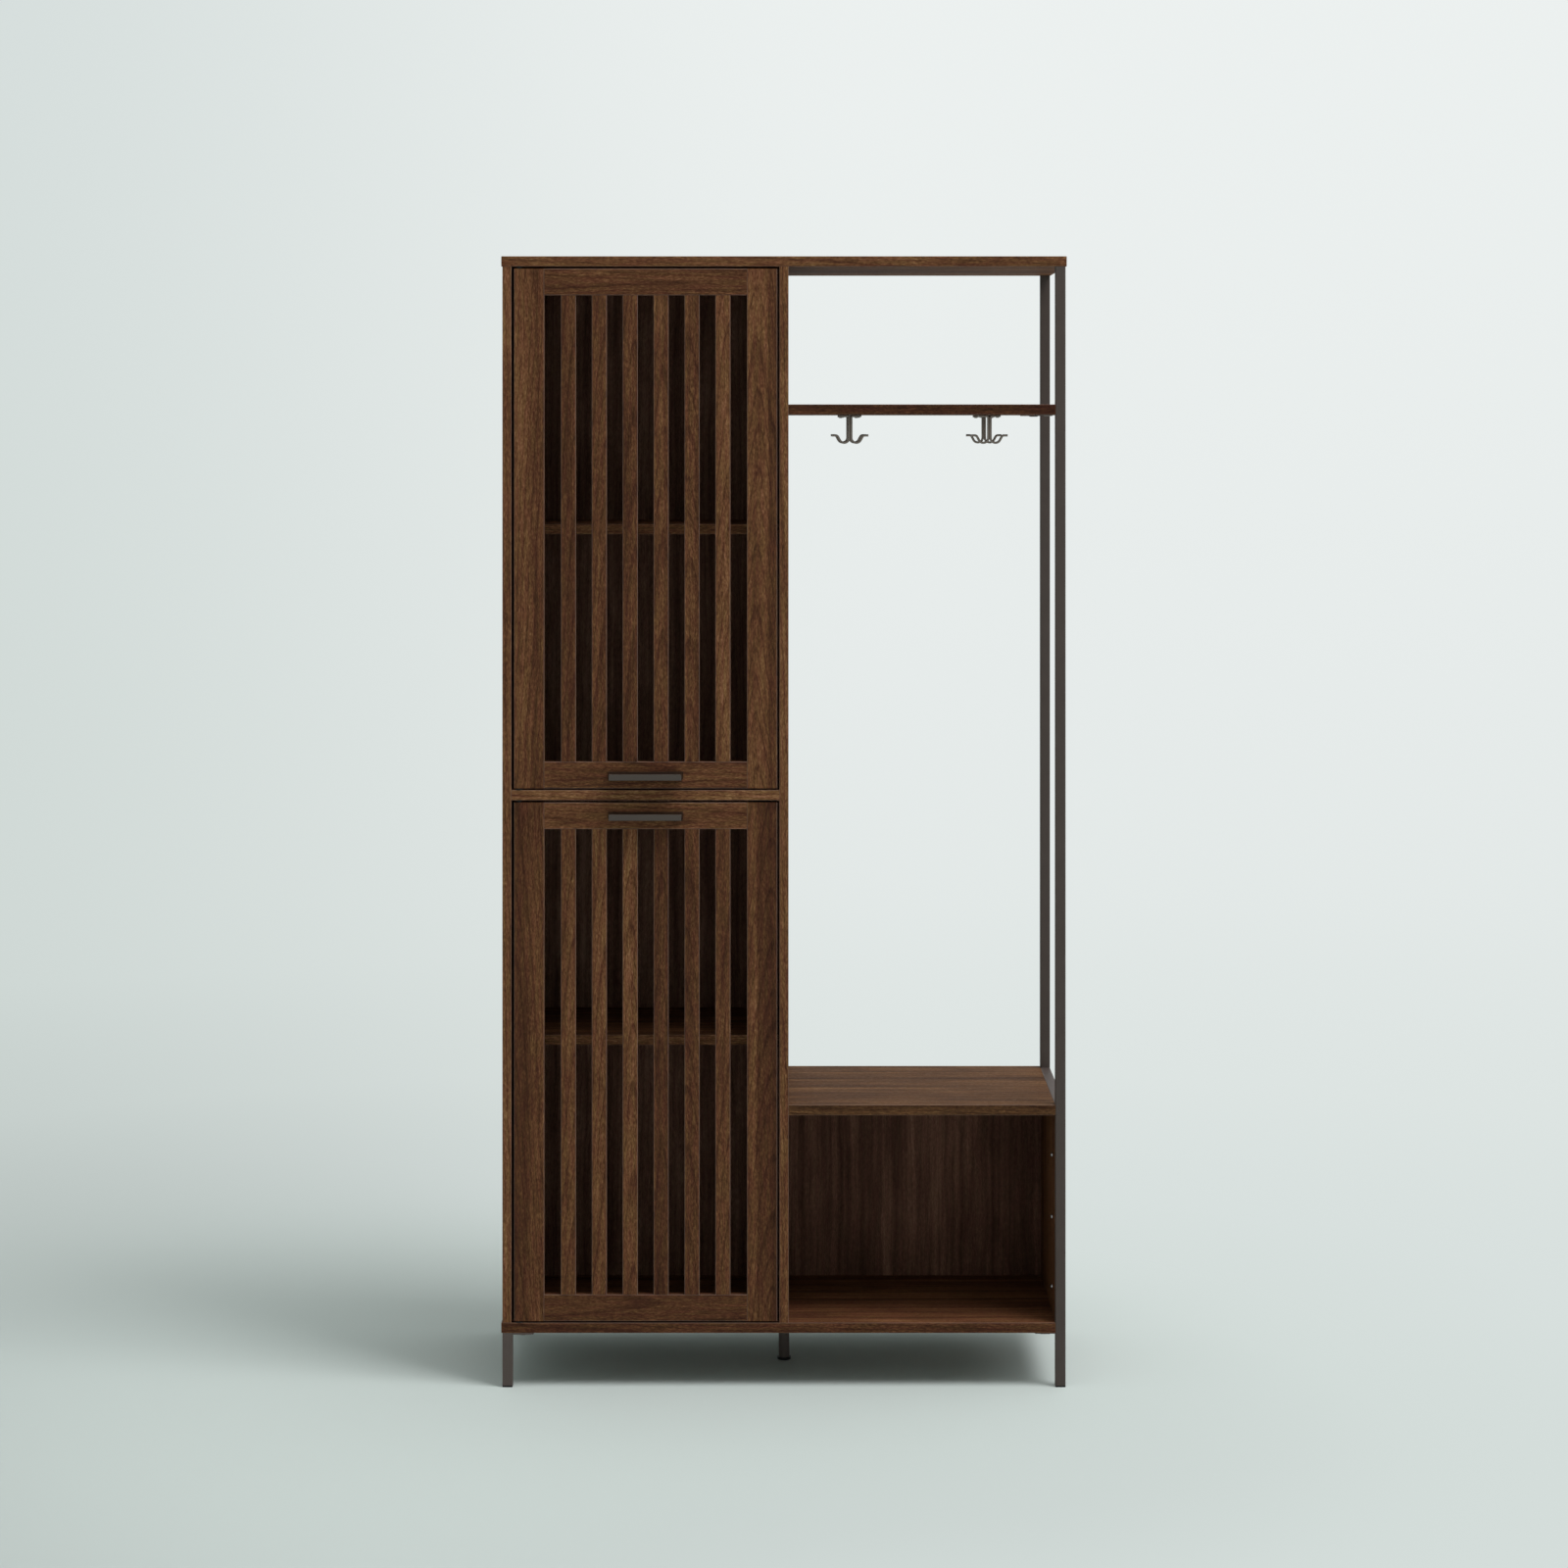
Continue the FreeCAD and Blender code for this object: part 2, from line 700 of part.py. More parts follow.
def rail(zs, inner_z, handle_z):
    """A cross member with a tenon at each end and a mortise for each slat in its inner edge."""
    xs = (door_xs[0] + stile_width, door_xs[1] - stile_width)
    shape = arrised(block(xs, door_ys, zs), door_arris)
    shape = shape.fuse(block(grown(xs, tenon_length), tenon_ys(), tenon_span(zs))).removeSplitter()
    out = 1 if inner_z == zs[1] else -1
    reach = tenon_length + joint_clearance
    slot_zs = sorted((inner_z - out * reach, inner_z + out * overrun))
    for n in range(slat_count):
        slot_xs = grown(tenon_span(slat_xs(n)), joint_clearance)
        shape = shape.cut(block(slot_xs, grown(tenon_ys(), joint_clearance), slot_zs))
    if handle_z:
        for x in handle_leg_xs():
            mouth = V(x, door_back, handle_z)
            radius = handle_screw_radius + hole_clearance
            shape = bored(shape, radius, mouth, frontward, door_thickness + overrun)
    return shape


def slat_xs(n):
    """The width of slat n, counted from the hinge side, with the row centred in the door."""
    centre = middle(door_xs) + (n - (slat_count - 1) / 2) * slat_pitch
    return around(centre, slat_width)


def slat(n, zs):
    """An upright slat, level with the door's front, with a tenon at each end."""
    opening = grown(zs, -rail_height)
    xs = slat_xs(n)
    shape = arrised(block(xs, (front, front + slat_thickness), opening), door_arris)
    tenons = block(tenon_span(xs), tenon_ys(), grown(opening, tenon_length))
    return shape.fuse(tenons).removeSplitter()


def handle_leg_xs():
    """The middles of a handle's two legs."""
    reach = (handle_length - handle_thickness) / 2
    return (handle_x - reach, handle_x + reach)


def handle(z):
    """Bar handle: a leg, a bar and a leg, bent from one piece and tapped for a screw at each end."""
    bend = handle_bend + handle_thickness / 2
    leg = handle_projection - handle_thickness / 2 - bend
    bar = handle_length - handle_thickness - bend * 2
    moves = [(leg, 0), (bend, quarter_turn), (bar, 0), (bend, quarter_turn), (leg, 0)]
    start = V(handle_leg_xs()[0], front, z)
    shape = bent_bar(moves, handle_thickness, handle_height, start, frontward, rightward)
    shape = arrised(shape, handle_arris)
    for x in handle_leg_xs():
        radius = handle_screw_radius + running_clearance
        shape = bored(shape, radius, V(x, front, z), frontward, handle_screw_bite + overrun)
    return shape


def handle_screws(z):
    """The machine screws that come from the back of the door into the handle's legs."""
    sizes = (
        handle_screw_head_radius,
        handle_screw_head_height,
        handle_screw_radius,
        door_thickness + handle_screw_bite,
    )
    return [headed(*sizes, V(x, door_back, z), backward) for x in handle_leg_xs()]


def strike_plate(z):
    """Steel plate on the back of the door with a nail driven into the stile."""
    ys = (door_back, door_back + strike_thickness)
    plate = block(around(catch_x, strike_width), ys, around(z, strike_height))
    nail = Part.makeCylinder(strike_nail_radius, strike_nail_length, V(catch_x, door_back, z), frontward)
    return plate.fuse(nail).removeSplitter()


def door_pieces(name, zs, handle_z, strike_z):
    """All the pieces of one door. The rail that the handle is near carries it."""
    low_rail = (zs[0], zs[0] + rail_height)
    high_rail = (zs[1] - rail_height, zs[1])
    on_low_rail = handle_z < middle(zs)
    pieces = {
        "hinge_stile": [hinge_stile(zs)],
        "free_stile": [free_stile(zs, strike_z)],
        "top_rail": [rail(high_rail, high_rail[0], None if on_low_rail else handle_z)],
        "bottom_rail": [rail(low_rail, low_rail[1], handle_z if on_low_rail else None)],
        "handle": [handle(handle_z)],
        "handle_screws": handle_screws(handle_z),
        "pivot_pins": pivot_pins(zs),
        "strike_plate": [strike_plate(strike_z)],
    }
    for n in range(slat_count):
        pieces["slat_" + str(n + 1)] = [slat(n, zs)]
    return {name + "_" + piece: solids for piece, solids in pieces.items()}


def carcass_pieces():
    """The boards of the cabinet, the bench and the coat bay, with what is fixed to them."""
    return {
        "top_panel": [top_panel()],
        "bottom_panel": [bottom_panel()],
        "left_side_panel": [cabinet_wall((left, side_inner), side_inner, leftward)],
        "divider_panel": [cabinet_wall((-divider_half, divider_half), -divider_half, rightward)],
        "middle_panel": [middle_panel()],
        "upper_shelf": [lift_out_shelf(upper_shelf_top)],
        "lower_shelf": [lift_out_shelf(lower_shelf_top)],
        "shelf_supports": [shelf_support(*place) for place in support_places()],
        "cabinet_back_panel": [back_panel(cabinet_xs, top_low)],
        "bench_seat": [board(bay_xs, (front, back), (seat_low, seat_top))],
        "bench_back_panel": [back_panel(bay_xs, seat_low)],
        "bench_side_panel": [infill_panel()],
        "bench_side_screws": infill_screws(),
        "coat_shelf": [coat_shelf()],
        "pivot_bushes": pivot_bushes(),
        "door_catches": [door_catch(middle_panel_top, 1), door_catch(middle_low, -1)],
        "wood_screws": wood_screws(),
    }


def steel_pieces():
    """The frame on the right, the legs, their feet and the coat hooks."""
    pieces = {
        "frame_front_post": [post(front_tube)],
        "frame_rear_post": [post(rear_tube)],
        "frame_seat_rail": [rail_between_posts(seat_top)],
        "frame_bottom_rail": [rail_between_posts(bottom_top)],
        "frame_strap": [frame_strap()],
        "frame_tabs": frame_tabs(),
        "tab_bolts": tab_bolts(),
        "left_front_leg": [left_leg(front_tube)],
        "left_rear_leg": [left_leg(rear_tube)],
        "centre_leg": [centre_leg()],
        "glide_feet": glide_feet(),
    }
    for name, x, y in hook_places():
        pieces["coat_hook_" + name] = [coat_hook(x, y)]
    return pieces


def hall_tree():
    """Every node of the hall tree with its solids."""
    nodes = carcass_pieces()
    nodes.update(steel_pieces())
    upper_handle_z = upper_door_zs[0] + upper_handle_rise
    lower_handle_z = lower_door_zs[1] - lower_handle_drop
    nodes.update(door_pieces("upper_door", upper_door_zs, upper_handle_z, upper_door_zs[0] + strike_inset))
    nodes.update(door_pieces("lower_door", lower_door_zs, lower_handle_z, lower_door_zs[1] - strike_inset))
    return nodes


os.makedirs("parts", exist_ok=True)
box = FreeCAD.BoundBox()
for name, solids in hall_tree().items():
    shape = solids[0] if len(solids) == 1 else Part.makeCompound(solids)
    shape.exportStep("parts/" + name + ".step")
    box.add(shape.BoundBox)
    print(name, "solids", len(shape.Solids), "valid", shape.isValid(), "volume", round(shape.Volume))
print("size", round(box.XLength, 2), round(box.YLength, 2), round(box.ZLength, 2))
print("centre", round(box.Center.x, 3), round(box.Center.y, 3), "low", round(box.ZMin, 3))
print("pivot axis", pivot_x, pivot_y)
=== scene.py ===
# %% [markdown]
# A hall tree: a tall cabinet with two slatted doors on the left and a coat bay over a bench on the
# right. The boards are chipboard with a printed walnut laminate. The frame, the legs and the coat
# hooks are coated steel, and the handles are plated zinc. The CAD model already holds every board
# and tube at its real size, so this lesson gives each of them its finish, and makes again in mesh
# code the pieces whose small forms catch the light: the door members, the handles, the hooks and
# the screws.

import json
import math

import bmesh
import bpy
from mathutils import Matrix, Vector


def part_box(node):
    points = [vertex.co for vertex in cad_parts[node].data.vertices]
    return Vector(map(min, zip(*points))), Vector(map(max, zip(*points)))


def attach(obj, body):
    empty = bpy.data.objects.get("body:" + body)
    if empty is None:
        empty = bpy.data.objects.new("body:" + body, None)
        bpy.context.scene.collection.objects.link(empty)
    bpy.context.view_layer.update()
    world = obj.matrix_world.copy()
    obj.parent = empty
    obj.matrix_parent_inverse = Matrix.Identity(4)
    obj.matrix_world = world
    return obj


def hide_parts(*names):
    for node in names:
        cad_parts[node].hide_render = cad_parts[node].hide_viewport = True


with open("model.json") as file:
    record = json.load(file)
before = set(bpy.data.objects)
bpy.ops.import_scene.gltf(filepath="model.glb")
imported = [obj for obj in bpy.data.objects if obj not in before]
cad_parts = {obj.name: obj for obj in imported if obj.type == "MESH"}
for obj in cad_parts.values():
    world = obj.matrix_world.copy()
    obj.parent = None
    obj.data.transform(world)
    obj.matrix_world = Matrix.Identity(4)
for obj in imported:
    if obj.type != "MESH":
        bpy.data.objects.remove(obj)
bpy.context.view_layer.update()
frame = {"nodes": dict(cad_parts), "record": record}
nodes = frame["nodes"]
mm = 0.001
axis_x, axis_y, axis_z = 0, 1, 2

# %% [markdown]
# The photograph is taken with a level camera. Upright edges stay upright in it because the lens is
# shifted down, not tilted. The size of the front and the height of the horizon in the picture fix
# the camera: it stands 6.5 m in front of the doors, a little under 1.7 m high, with an 84 mm lens.

# %% The camera
picture_width = 1600
horizon_row = 437.7
middle_row = picture_width / 2
front_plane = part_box("upper_door_free_stile")[0].y
camera_distance = 6500 * mm
camera_height = 1694.6 * mm
lens_length, sensor_width = 84.4, 36.0
view_reach = 60.0

camera_data = bpy.data.cameras.new("photo_camera")
camera_data.lens = lens_length
camera_data.sensor_width = sensor_width
camera_data.shift_y = (horizon_row - middle_row) / picture_width
camera_data.clip_end = view_reach
camera = bpy.data.objects.new("photo_camera", camera_data)
camera.location = (0, front_plane - camera_distance, camera_height)
camera.rotation_euler = (math.radians(90), 0, 0)
bpy.context.scene.collection.objects.link(camera)
bpy.context.scene.camera = camera
print("camera at", [round(v, 3) for v in camera.location], "shift", round(camera_data.shift_y, 4))

# %% [markdown]
# Shader trees and Geometry Nodes trees are built the same way here: one small function adds a node,
# sets its settings and fills its inputs. An input gets a plain value, or another node or one of its
# outputs, which makes a link. Colours are written as sRGB hex values, as a paint chart gives them,
# and one function turns them to the linear values that the shaders work with.


# %% Two helpers for every node tree
def linear(hex_colour):
    """An sRGB hex colour as linear red, green, blue and alpha."""
    levels = [int(hex_colour[n : n + 2], 16) / 255 for n in (1, 3, 5)]
    return [v / 12.92 if v <= 0.04045 else ((v + 0.055) / 1.055) ** 2.4 for v in levels] + [1.0]


def add(tree, kind, inputs=None, stops=(), **settings):
    """A new node. inputs maps a socket's name or number to a value, a node or a node's output.

    stops are the positions and hex colours of a colour ramp.
    """
    made = tree.nodes.new(kind)
    for name, value in settings.items():
        setattr(made, name, value)
    for n, (position, hex_colour) in enumerate(stops):
        stop = made.color_ramp.elements[n] if n < 2 else made.color_ramp.elements.new(position)
        stop.position = position
        stop.color = linear(hex_colour)
    for socket, value in (inputs or {}).items():
        if isinstance(value, bpy.types.Node):
            value = next(s for s in value.outputs if s.enabled)
        if isinstance(value, bpy.types.NodeSocket):
            tree.links.new(value, made.inputs[socket])
        else:
            made.inputs[socket].default_value = value
    return made


print("mid walnut, linear:", [round(v, 3) for v in linear("#573B28")])

# %% [markdown]
# Walnut laminate is a photograph of walnut veneer printed on paper, sealed under resin and pressed
# with a shallow matt emboss. Veneer that is sliced flat from a log draws nested arches, and veneer
# from beside the heart draws nearly straight lines. Both come from one rule: a tree's growth rings
# are slim cones, so the number of the ring at a place depends on its distance from the heart and, a
# little, on its height in the trunk. This node group turns a place on the veneer, along and across
# the grain in millimetres, into the thin dark late wood of those rings, with broad streaks, lines
# and short flecks. Real pores are 0.2 mm wide, too fine to show, so the flecks are drawn about
# 1.4 mm wide. On the boards' faces the print is calmer than on the door members, with stronger
# streaks and fainter lines and flecks, and it shows the leaves of veneer that were laid side by
# side, each of its own tone. A second pattern turns the colour between a redder and a yellower
# brown in patches.

# %% The figure of walnut veneer
ring_spacing = 9.5
ring_strength = 0.16
uneven_rings, uneven_length = 3.0, 3 * ring_spacing
# Each noise: its size along the grain and across it in millimetres, and how many finer layers it has.
figure_noises = {
    "bend": (420.0, 90.0, 2.0),
    "ripple": (55.0, 20.0, 2.0),
    "streak": (900.0, 13.0, 3.0),
    "line": (150.0, 2.8, 2.0),
    "grain": (22.0, 1.9, 1.0),
    "fleck": (6.0, 1.4, 1.0),
    "cloud": (130.0, 28.0, 2.0),
    "hue": (60.0, 6.0, 2.0),
}
noise_step = 3.7
bend_width, ripple_width = 26.0, 6.0
fleck_low, fleck_high = 0.4, 0.65
red_below, yellow_above = 0.38, 0.62
figure_strengths = {"streak": 0.5, "line": 0.35, "grain": 0.35, "fleck": 0.85, "cloud": 0.35}
calm_changes = {"streak": 0.45, "line": -0.1, "grain": -0.2, "fleck": -0.4, "cloud": 0.1}
calm_ring_change = -0.1
leaf_width, leaf_strength = 95.0, 0.16
late_wood = ((0.0, "#000000"), (0.72, "#1A1A1A"), (0.88, "#FFFFFF"), (0.96, "#FFFFFF"), (1.0, "#000000"))


def veneer_noise(tree, name, along, across, seed):
    """One of the figure's noises, from 0 to 1, as long and as wide as its two sizes in millimetres."""
    along_size, across_size, detail = figure_noises[name]
    layer = list(figure_noises).index(name) * noise_step
    place = add(tree, "ShaderNodeCombineXYZ", {"X": across, "Y": along, "Z": layer})
    sized = add(tree, "ShaderNodeVectorMath", {0: place, 1: (across_size, along_size, 1)}, operation="DIVIDE")
    return add(tree, "ShaderNodeTexNoise", {"Vector": sized, "W": seed, "Scale": 1.0, "Detail": detail},
               noise_dimensions="4D")


def veneer_figure():
    """The node group that draws the figure. Its value runs from 0, darkest, to 1, lightest."""
    tree = bpy.data.node_groups.new("walnut_figure", "ShaderNodeTree")
    inputs = {"Along": 0.0, "Across": 0.0, "Seed": 0.0, "Heart across": 0.0, "Heart depth": 40.0,
              "Taper": 0.1, "Calm": 0.0}
    for name, value in inputs.items():
        socket = tree.interface.new_socket(name, in_out="INPUT", socket_type="NodeSocketFloat")
        socket.default_value = value
    for name in ("Value", "Hue", "Flecks"):
        tree.interface.new_socket(name, in_out="OUTPUT", socket_type="NodeSocketFloat")
    maths = "ShaderNodeMath"
    place = add(tree, "NodeGroupInput").outputs
    along, across, seed, calm = (place[name] for name in ("Along", "Across", "Seed", "Calm"))

    bend = veneer_noise(tree, "bend", along, across, seed)
    bend = add(tree, maths, {0: bend, 1: bend_width, 2: across}, operation="MULTIPLY_ADD")
    ripple = veneer_noise(tree, "ripple", along, across, seed)
    bent = add(tree, maths, {0: ripple, 1: ripple_width, 2: bend}, operation="MULTIPLY_ADD")

    offset = add(tree, maths, {0: bent, 1: (bend_width + ripple_width) / 2}, operation="SUBTRACT")
    offset = add(tree, maths, {0: offset, 1: place["Heart across"]}, operation="SUBTRACT")
    from_heart = add(tree, "ShaderNodeCombineXYZ", {"X": offset, "Y": place["Heart depth"]})
    radius = add(tree, "ShaderNodeVectorMath", {0: from_heart}, operation="LENGTH").outputs["Value"]
    cone = add(tree, maths, {0: along, 1: place["Taper"], 2: radius}, operation="MULTIPLY_ADD")
    on_cone = add(tree, "ShaderNodeCombineXYZ", {"X": cone})
    uneven = add(tree, "ShaderNodeTexNoise", {"Vector": on_cone, "W": seed, "Scale": 1 / uneven_length},
                 noise_dimensions="4D")
    uneven = add(tree, maths, {0: uneven, 1: uneven_rings}, operation="MULTIPLY")
    rings = add(tree, maths, {0: cone, 1: 1 / ring_spacing, 2: uneven}, operation="MULTIPLY_ADD")
    phase = add(tree, maths, {0: rings}, operation="FRACT")
    late = add(tree, "ShaderNodeValToRGB", {"Fac": phase}, late_wood)

    share = add(tree, maths, {0: calm, 1: -calm_ring_change, 2: -ring_strength}, operation="MULTIPLY_ADD")
    value = add(tree, maths, {0: late, 1: share, 2: 0.5}, operation="MULTIPLY_ADD")
    for name, strength in figure_strengths.items():
        noise = veneer_noise(tree, name, along, bent, seed)
        centred = add(tree, maths, {0: noise, 1: 0.5}, operation="SUBTRACT")
        share = add(tree, maths, {0: calm, 1: calm_changes[name], 2: strength}, operation="MULTIPLY_ADD")
        value = add(tree, maths, {0: centred, 1: share, 2: value}, operation="MULTIPLY_ADD")
        if name == "fleck":
            flecks = add(tree, "ShaderNodeMapRange", {"Value": noise, "From Min": fleck_low,
                                                      "From Max": fleck_high})
    leaf = add(tree, maths, {0: bend, 1: 1 / leaf_width, 2: seed}, operation="MULTIPLY_ADD")
    leaf = add(tree, maths, {0: leaf}, operation="FLOOR")
    leaf = add(tree, "ShaderNodeTexWhiteNoise", {"W": leaf}, noise_dimensions="1D")
    leaf = add(tree, maths, {0: leaf, 1: 0.5}, operation="SUBTRACT")
    share = add(tree, maths, {0: calm, 1: leaf_strength}, operation="MULTIPLY")
    value = add(tree, maths, {0: leaf, 1: share, 2: value}, operation="MULTIPLY_ADD")
    hue = veneer_noise(tree, "hue", along, bent, seed)
    hue = add(tree, "ShaderNodeMapRange", {"Value": hue, "From Min": red_below, "From Max": yellow_above})
    add(tree, "NodeGroupOutput", {"Value": value, "Hue": hue, "Flecks": flecks})
    print("walnut figure:", len(tree.nodes), "nodes, ring spacing", ring_spacing, "mm")
    return tree


walnut_figure = veneer_figure()

# %% [markdown]
# A laminated board has the printed sheet on its two broad faces and a strip of edge banding, with a
# print of its own, on each narrow one. The veneer runs along the board on its faces and along each
# strip on its edges. The object-space normal says which kind of face a point is on, so one material
# covers the whole board: it picks the two coordinates that lie in the face and hands them to the
# figure. The printed sheet joins leaves of veneer, so a bar may be cut across such a joint and be
# darker on one side of it. The two thin back panels have a greyer print, and the seat's is a little
# yellower. The resin is a plain dielectric, with the sheen of a fine emboss. Where a face turns round
# a rounded edge its colour is painted paler and greyer: a painted highlight in place of the bright
# room that the round edge would mirror.

# %% Walnut laminate
face_print = (((0.0, "#331C15"), (0.3, "#4A2B1F"), (0.5, "#5F3A28"), (0.7, "#7A4F37"), (1.0, "#A5775A")),
              ((0.0, "#311D13"), (0.3, "#492F1E"), (0.5, "#5E3F28"), (0.7, "#795536"), (1.0, "#A57F58")))
seat_print = (face_print[1],
              ((0.0, "#301F13"), (0.3, "#48301F"), (0.5, "#5D412A"), (0.7, "#785739"), (1.0, "#A4825B")))
back_print = (((0.0, "#35201B"), (0.3, "#4F3229"), (0.5, "#664338"), (0.7, "#80594A"), (1.0, "#A87F6D")),
              ((0.0, "#33221B"), (0.3, "#4D3529"), (0.5, "#644638"), (0.7, "#7F5C4A"), (1.0, "#A8836D")))
plain_roughness, fleck_roughness = 0.7, 0.58
resin_ior, resin_gloss = 1.5, 0.05
emboss_depth, emboss_strength = 0.12 * mm, 0.5
edge_shift = 400.0
face_threshold = 0.75
# Painted highlight: the colour of folded, rounded edges is mixed towards this pale grey, in place of the
# bright room they would mirror.
painted_highlight_colour, painted_highlight_strength = "#A1908A", 0.6


def walnut(name, box, grain, thin, seed=0.0, tone=0.0, edge_tone=0.0, heart=(), colours=face_print):
    """A walnut laminate for a board in this box, with its grain along one axis and thin along another.

    heart is the place of the log's heart across the board and below it, and the rings' taper.
    Without a box the material is for a row of bars, which carry their middle, seed, tone, heart and
    joint: its place across the bar, the change of tone beyond it and the width of that change.
    """
    maths = "ShaderNodeMath"
    wide = 3 - grain - thin
    material = bpy.data.materials.new("walnut_laminate_" + name)
    material.use_nodes = True
    tree = material.node_tree
    shader = tree.nodes["Principled BSDF"]
    figure = add(tree, "ShaderNodeGroup", node_tree=walnut_figure)
    coordinates = add(tree, "ShaderNodeTexCoord").outputs
    here = coordinates["Object"]
    carried = {}
    if box:
        centre = (box[0] + box[1]) / 2
        centred = add(tree, "ShaderNodeMapping", {"Vector": here, "Location": -centre / mm,
                                                  "Scale": (1 / mm, 1 / mm, 1 / mm)})
    else:
        for label in ("middle", "heart", "joint", "seed", "tone"):
            carried[label] = add(tree, "ShaderNodeAttribute", attribute_name=label).outputs
        centred = add(tree, "ShaderNodeVectorMath", {0: here, 1: carried["middle"]["Vector"]},
                      operation="SUBTRACT")
        centred = add(tree, "ShaderNodeVectorMath", {0: centred, 3: 1 / mm}, operation="SCALE")
    place = add(tree, "ShaderNodeSeparateXYZ", {0: centred}).outputs
    normal = add(tree, "ShaderNodeVectorMath", {0: coordinates["Normal"]}, operation="ABSOLUTE")
    facing = add(tree, "ShaderNodeSeparateXYZ", {0: normal}).outputs
    on_long_edge = add(tree, maths, {0: facing[wide], 1: face_threshold}, operation="GREATER_THAN")
    on_end = add(tree, maths, {0: facing[grain], 1: face_threshold}, operation="GREATER_THAN")
    on_edge = add(tree, maths, {0: on_long_edge, 1: on_end}, operation="MAXIMUM")
    shifted = add(tree, maths, {0: place[thin], 1: edge_shift}, operation="ADD")
    across = add(tree, "ShaderNodeMix", {0: on_edge, 2: place[wide], 3: shifted})
    along = add(tree, "ShaderNodeMix", {0: on_end, 2: place[grain], 3: place[wide]})
    tree.links.new(along.outputs[0], figure.inputs["Along"])
    tree.links.new(across.outputs[0], figure.inputs["Across"])
    sockets = ("Seed", "Heart across", "Heart depth", "Taper")
    if box:
        for socket, value in zip(sockets, (seed, *heart)):
            figure.inputs[socket].default_value = value
        calm = add(tree, maths, {0: 1.0, 1: on_edge}, operation="SUBTRACT")
        tree.links.new(calm.outputs[0], figure.inputs["Calm"])
        tone = add(tree, maths, {0: on_edge, 1: edge_tone - tone, 2: tone}, operation="MULTIPLY_ADD")
    else:
        heart = add(tree, "ShaderNodeSeparateXYZ", {0: carried["heart"]["Vector"]}).outputs
        for socket, value in zip(sockets, (carried["seed"]["Fac"], *heart)):
            tree.links.new(value, figure.inputs[socket])
        joint = add(tree, "ShaderNodeSeparateXYZ", {0: carried["joint"]["Vector"]}).outputs
        end = add(tree, maths, {0: joint["X"], 1: joint["Z"]}, operation="ADD")
        beyond = add(tree, "ShaderNodeMapRange", {"Value": place[wide], "From Min": joint["X"],
                                                  "From Max": end})
        tone = add(tree, maths, {0: beyond, 1: joint["Y"], 2: carried["tone"]["Fac"]},
                   operation="MULTIPLY_ADD")
    value = add(tree, maths, {0: figure.outputs["Value"], 1: tone}, operation="ADD")
    red = add(tree, "ShaderNodeValToRGB", {"Fac": value}, colours[0])
    yellow = add(tree, "ShaderNodeValToRGB", {"Fac": value}, colours[1])
    colour = add(tree, "ShaderNodeMix", {0: figure.outputs["Hue"], 6: red, 7: yellow}, data_type="RGBA")
    # Painted highlight: where a face turns round a rounded edge, its colour is made paler and greyer.
    fold = add(tree, maths, {0: facing[wide], 1: facing[thin]}, operation="MULTIPLY")
    fold = add(tree, maths, {0: fold, 1: painted_highlight_strength}, operation="MULTIPLY")
    colour = add(tree, "ShaderNodeMix", {0: fold, 6: colour.outputs[2], 7: linear(painted_highlight_colour)},
                 data_type="RGBA")
    tree.links.new(colour.outputs[2], shader.inputs["Base Color"])
    flecks = figure.outputs["Flecks"]
    roughness = add(tree, maths, {0: flecks, 1: fleck_roughness - plain_roughness, 2: plain_roughness},
                    operation="MULTIPLY_ADD")
    tree.links.new(roughness.outputs[0], shader.inputs["Roughness"])
    emboss = add(tree, "ShaderNodeBump", {"Height": flecks, "Distance": emboss_depth,
                                          "Strength": emboss_strength})
    tree.links.new(emboss.outputs[0], shader.inputs["Normal"])
    shader.inputs["IOR"].default_value = resin_ior
    shader.inputs["Specular IOR Level"].default_value = resin_gloss
    return material


def dress(node, material):
    """Gives a CAD node its material."""
    mesh = nodes[node].data
    mesh.materials.clear()
    mesh.materials.append(material)


# Each board: the axes of its grain and of its thickness, its seed, its tone and its edges' tone, and
# the log's heart.
boards = {
    "top_panel": (axis_x, axis_z, 1.0, 0.14, 0.1, (120.0, 90.0, 0.05)),
    "bottom_panel": (axis_x, axis_z, 2.0, -0.05, -0.12, (60.0, 80.0, 0.04)),
    "left_side_panel": (axis_z, axis_x, 3.0, 0.0, 0.14, (-60.0, 50.0, 0.03)),
    "divider_panel": (axis_z, axis_x, 4.0, 0.0, 0.1, (90.0, 60.0, 0.04)),
    "middle_panel": (axis_x, axis_z, 5.0, 0.0, 0.15, (100.0, 60.0, 0.04)),
    "upper_shelf": (axis_x, axis_z, 6.0, 0.0, 0.14, (100.0, 60.0, 0.04)),
    "lower_shelf": (axis_x, axis_z, 7.0, 0.0, 0.14, (100.0, 60.0, 0.04)),
    "cabinet_back_panel": (axis_z, axis_y, 8.0, 0.1, 0.0, (120.0, 60.0, 0.04)),
    "bench_seat": (axis_x, axis_z, 9.0, -0.06, -0.16, (160.0, 200.0, 0.04)),
    "bench_back_panel": (axis_z, axis_y, 10.0, 0.0, 0.0, (150.0, 120.0, 0.04)),
    "bench_side_panel": (axis_z, axis_x, 11.0, 0.06, 0.0, (100.0, 60.0, 0.04)),
    "coat_shelf": (axis_x, axis_z, 12.0, 0.0, -0.24, (100.0, 60.0, 0.04)),
}
other_prints = {"cabinet_back_panel": back_print, "bench_back_panel": back_print, "bench_seat": seat_print}
for node, (grain, thin, seed, tone, edge_tone, heart) in boards.items():
    colours = other_prints.get(node, face_print)
    dress(node, walnut(node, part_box(node), grain, thin, seed, tone, edge_tone, heart, colours))
print("laminated boards:", len(boards))
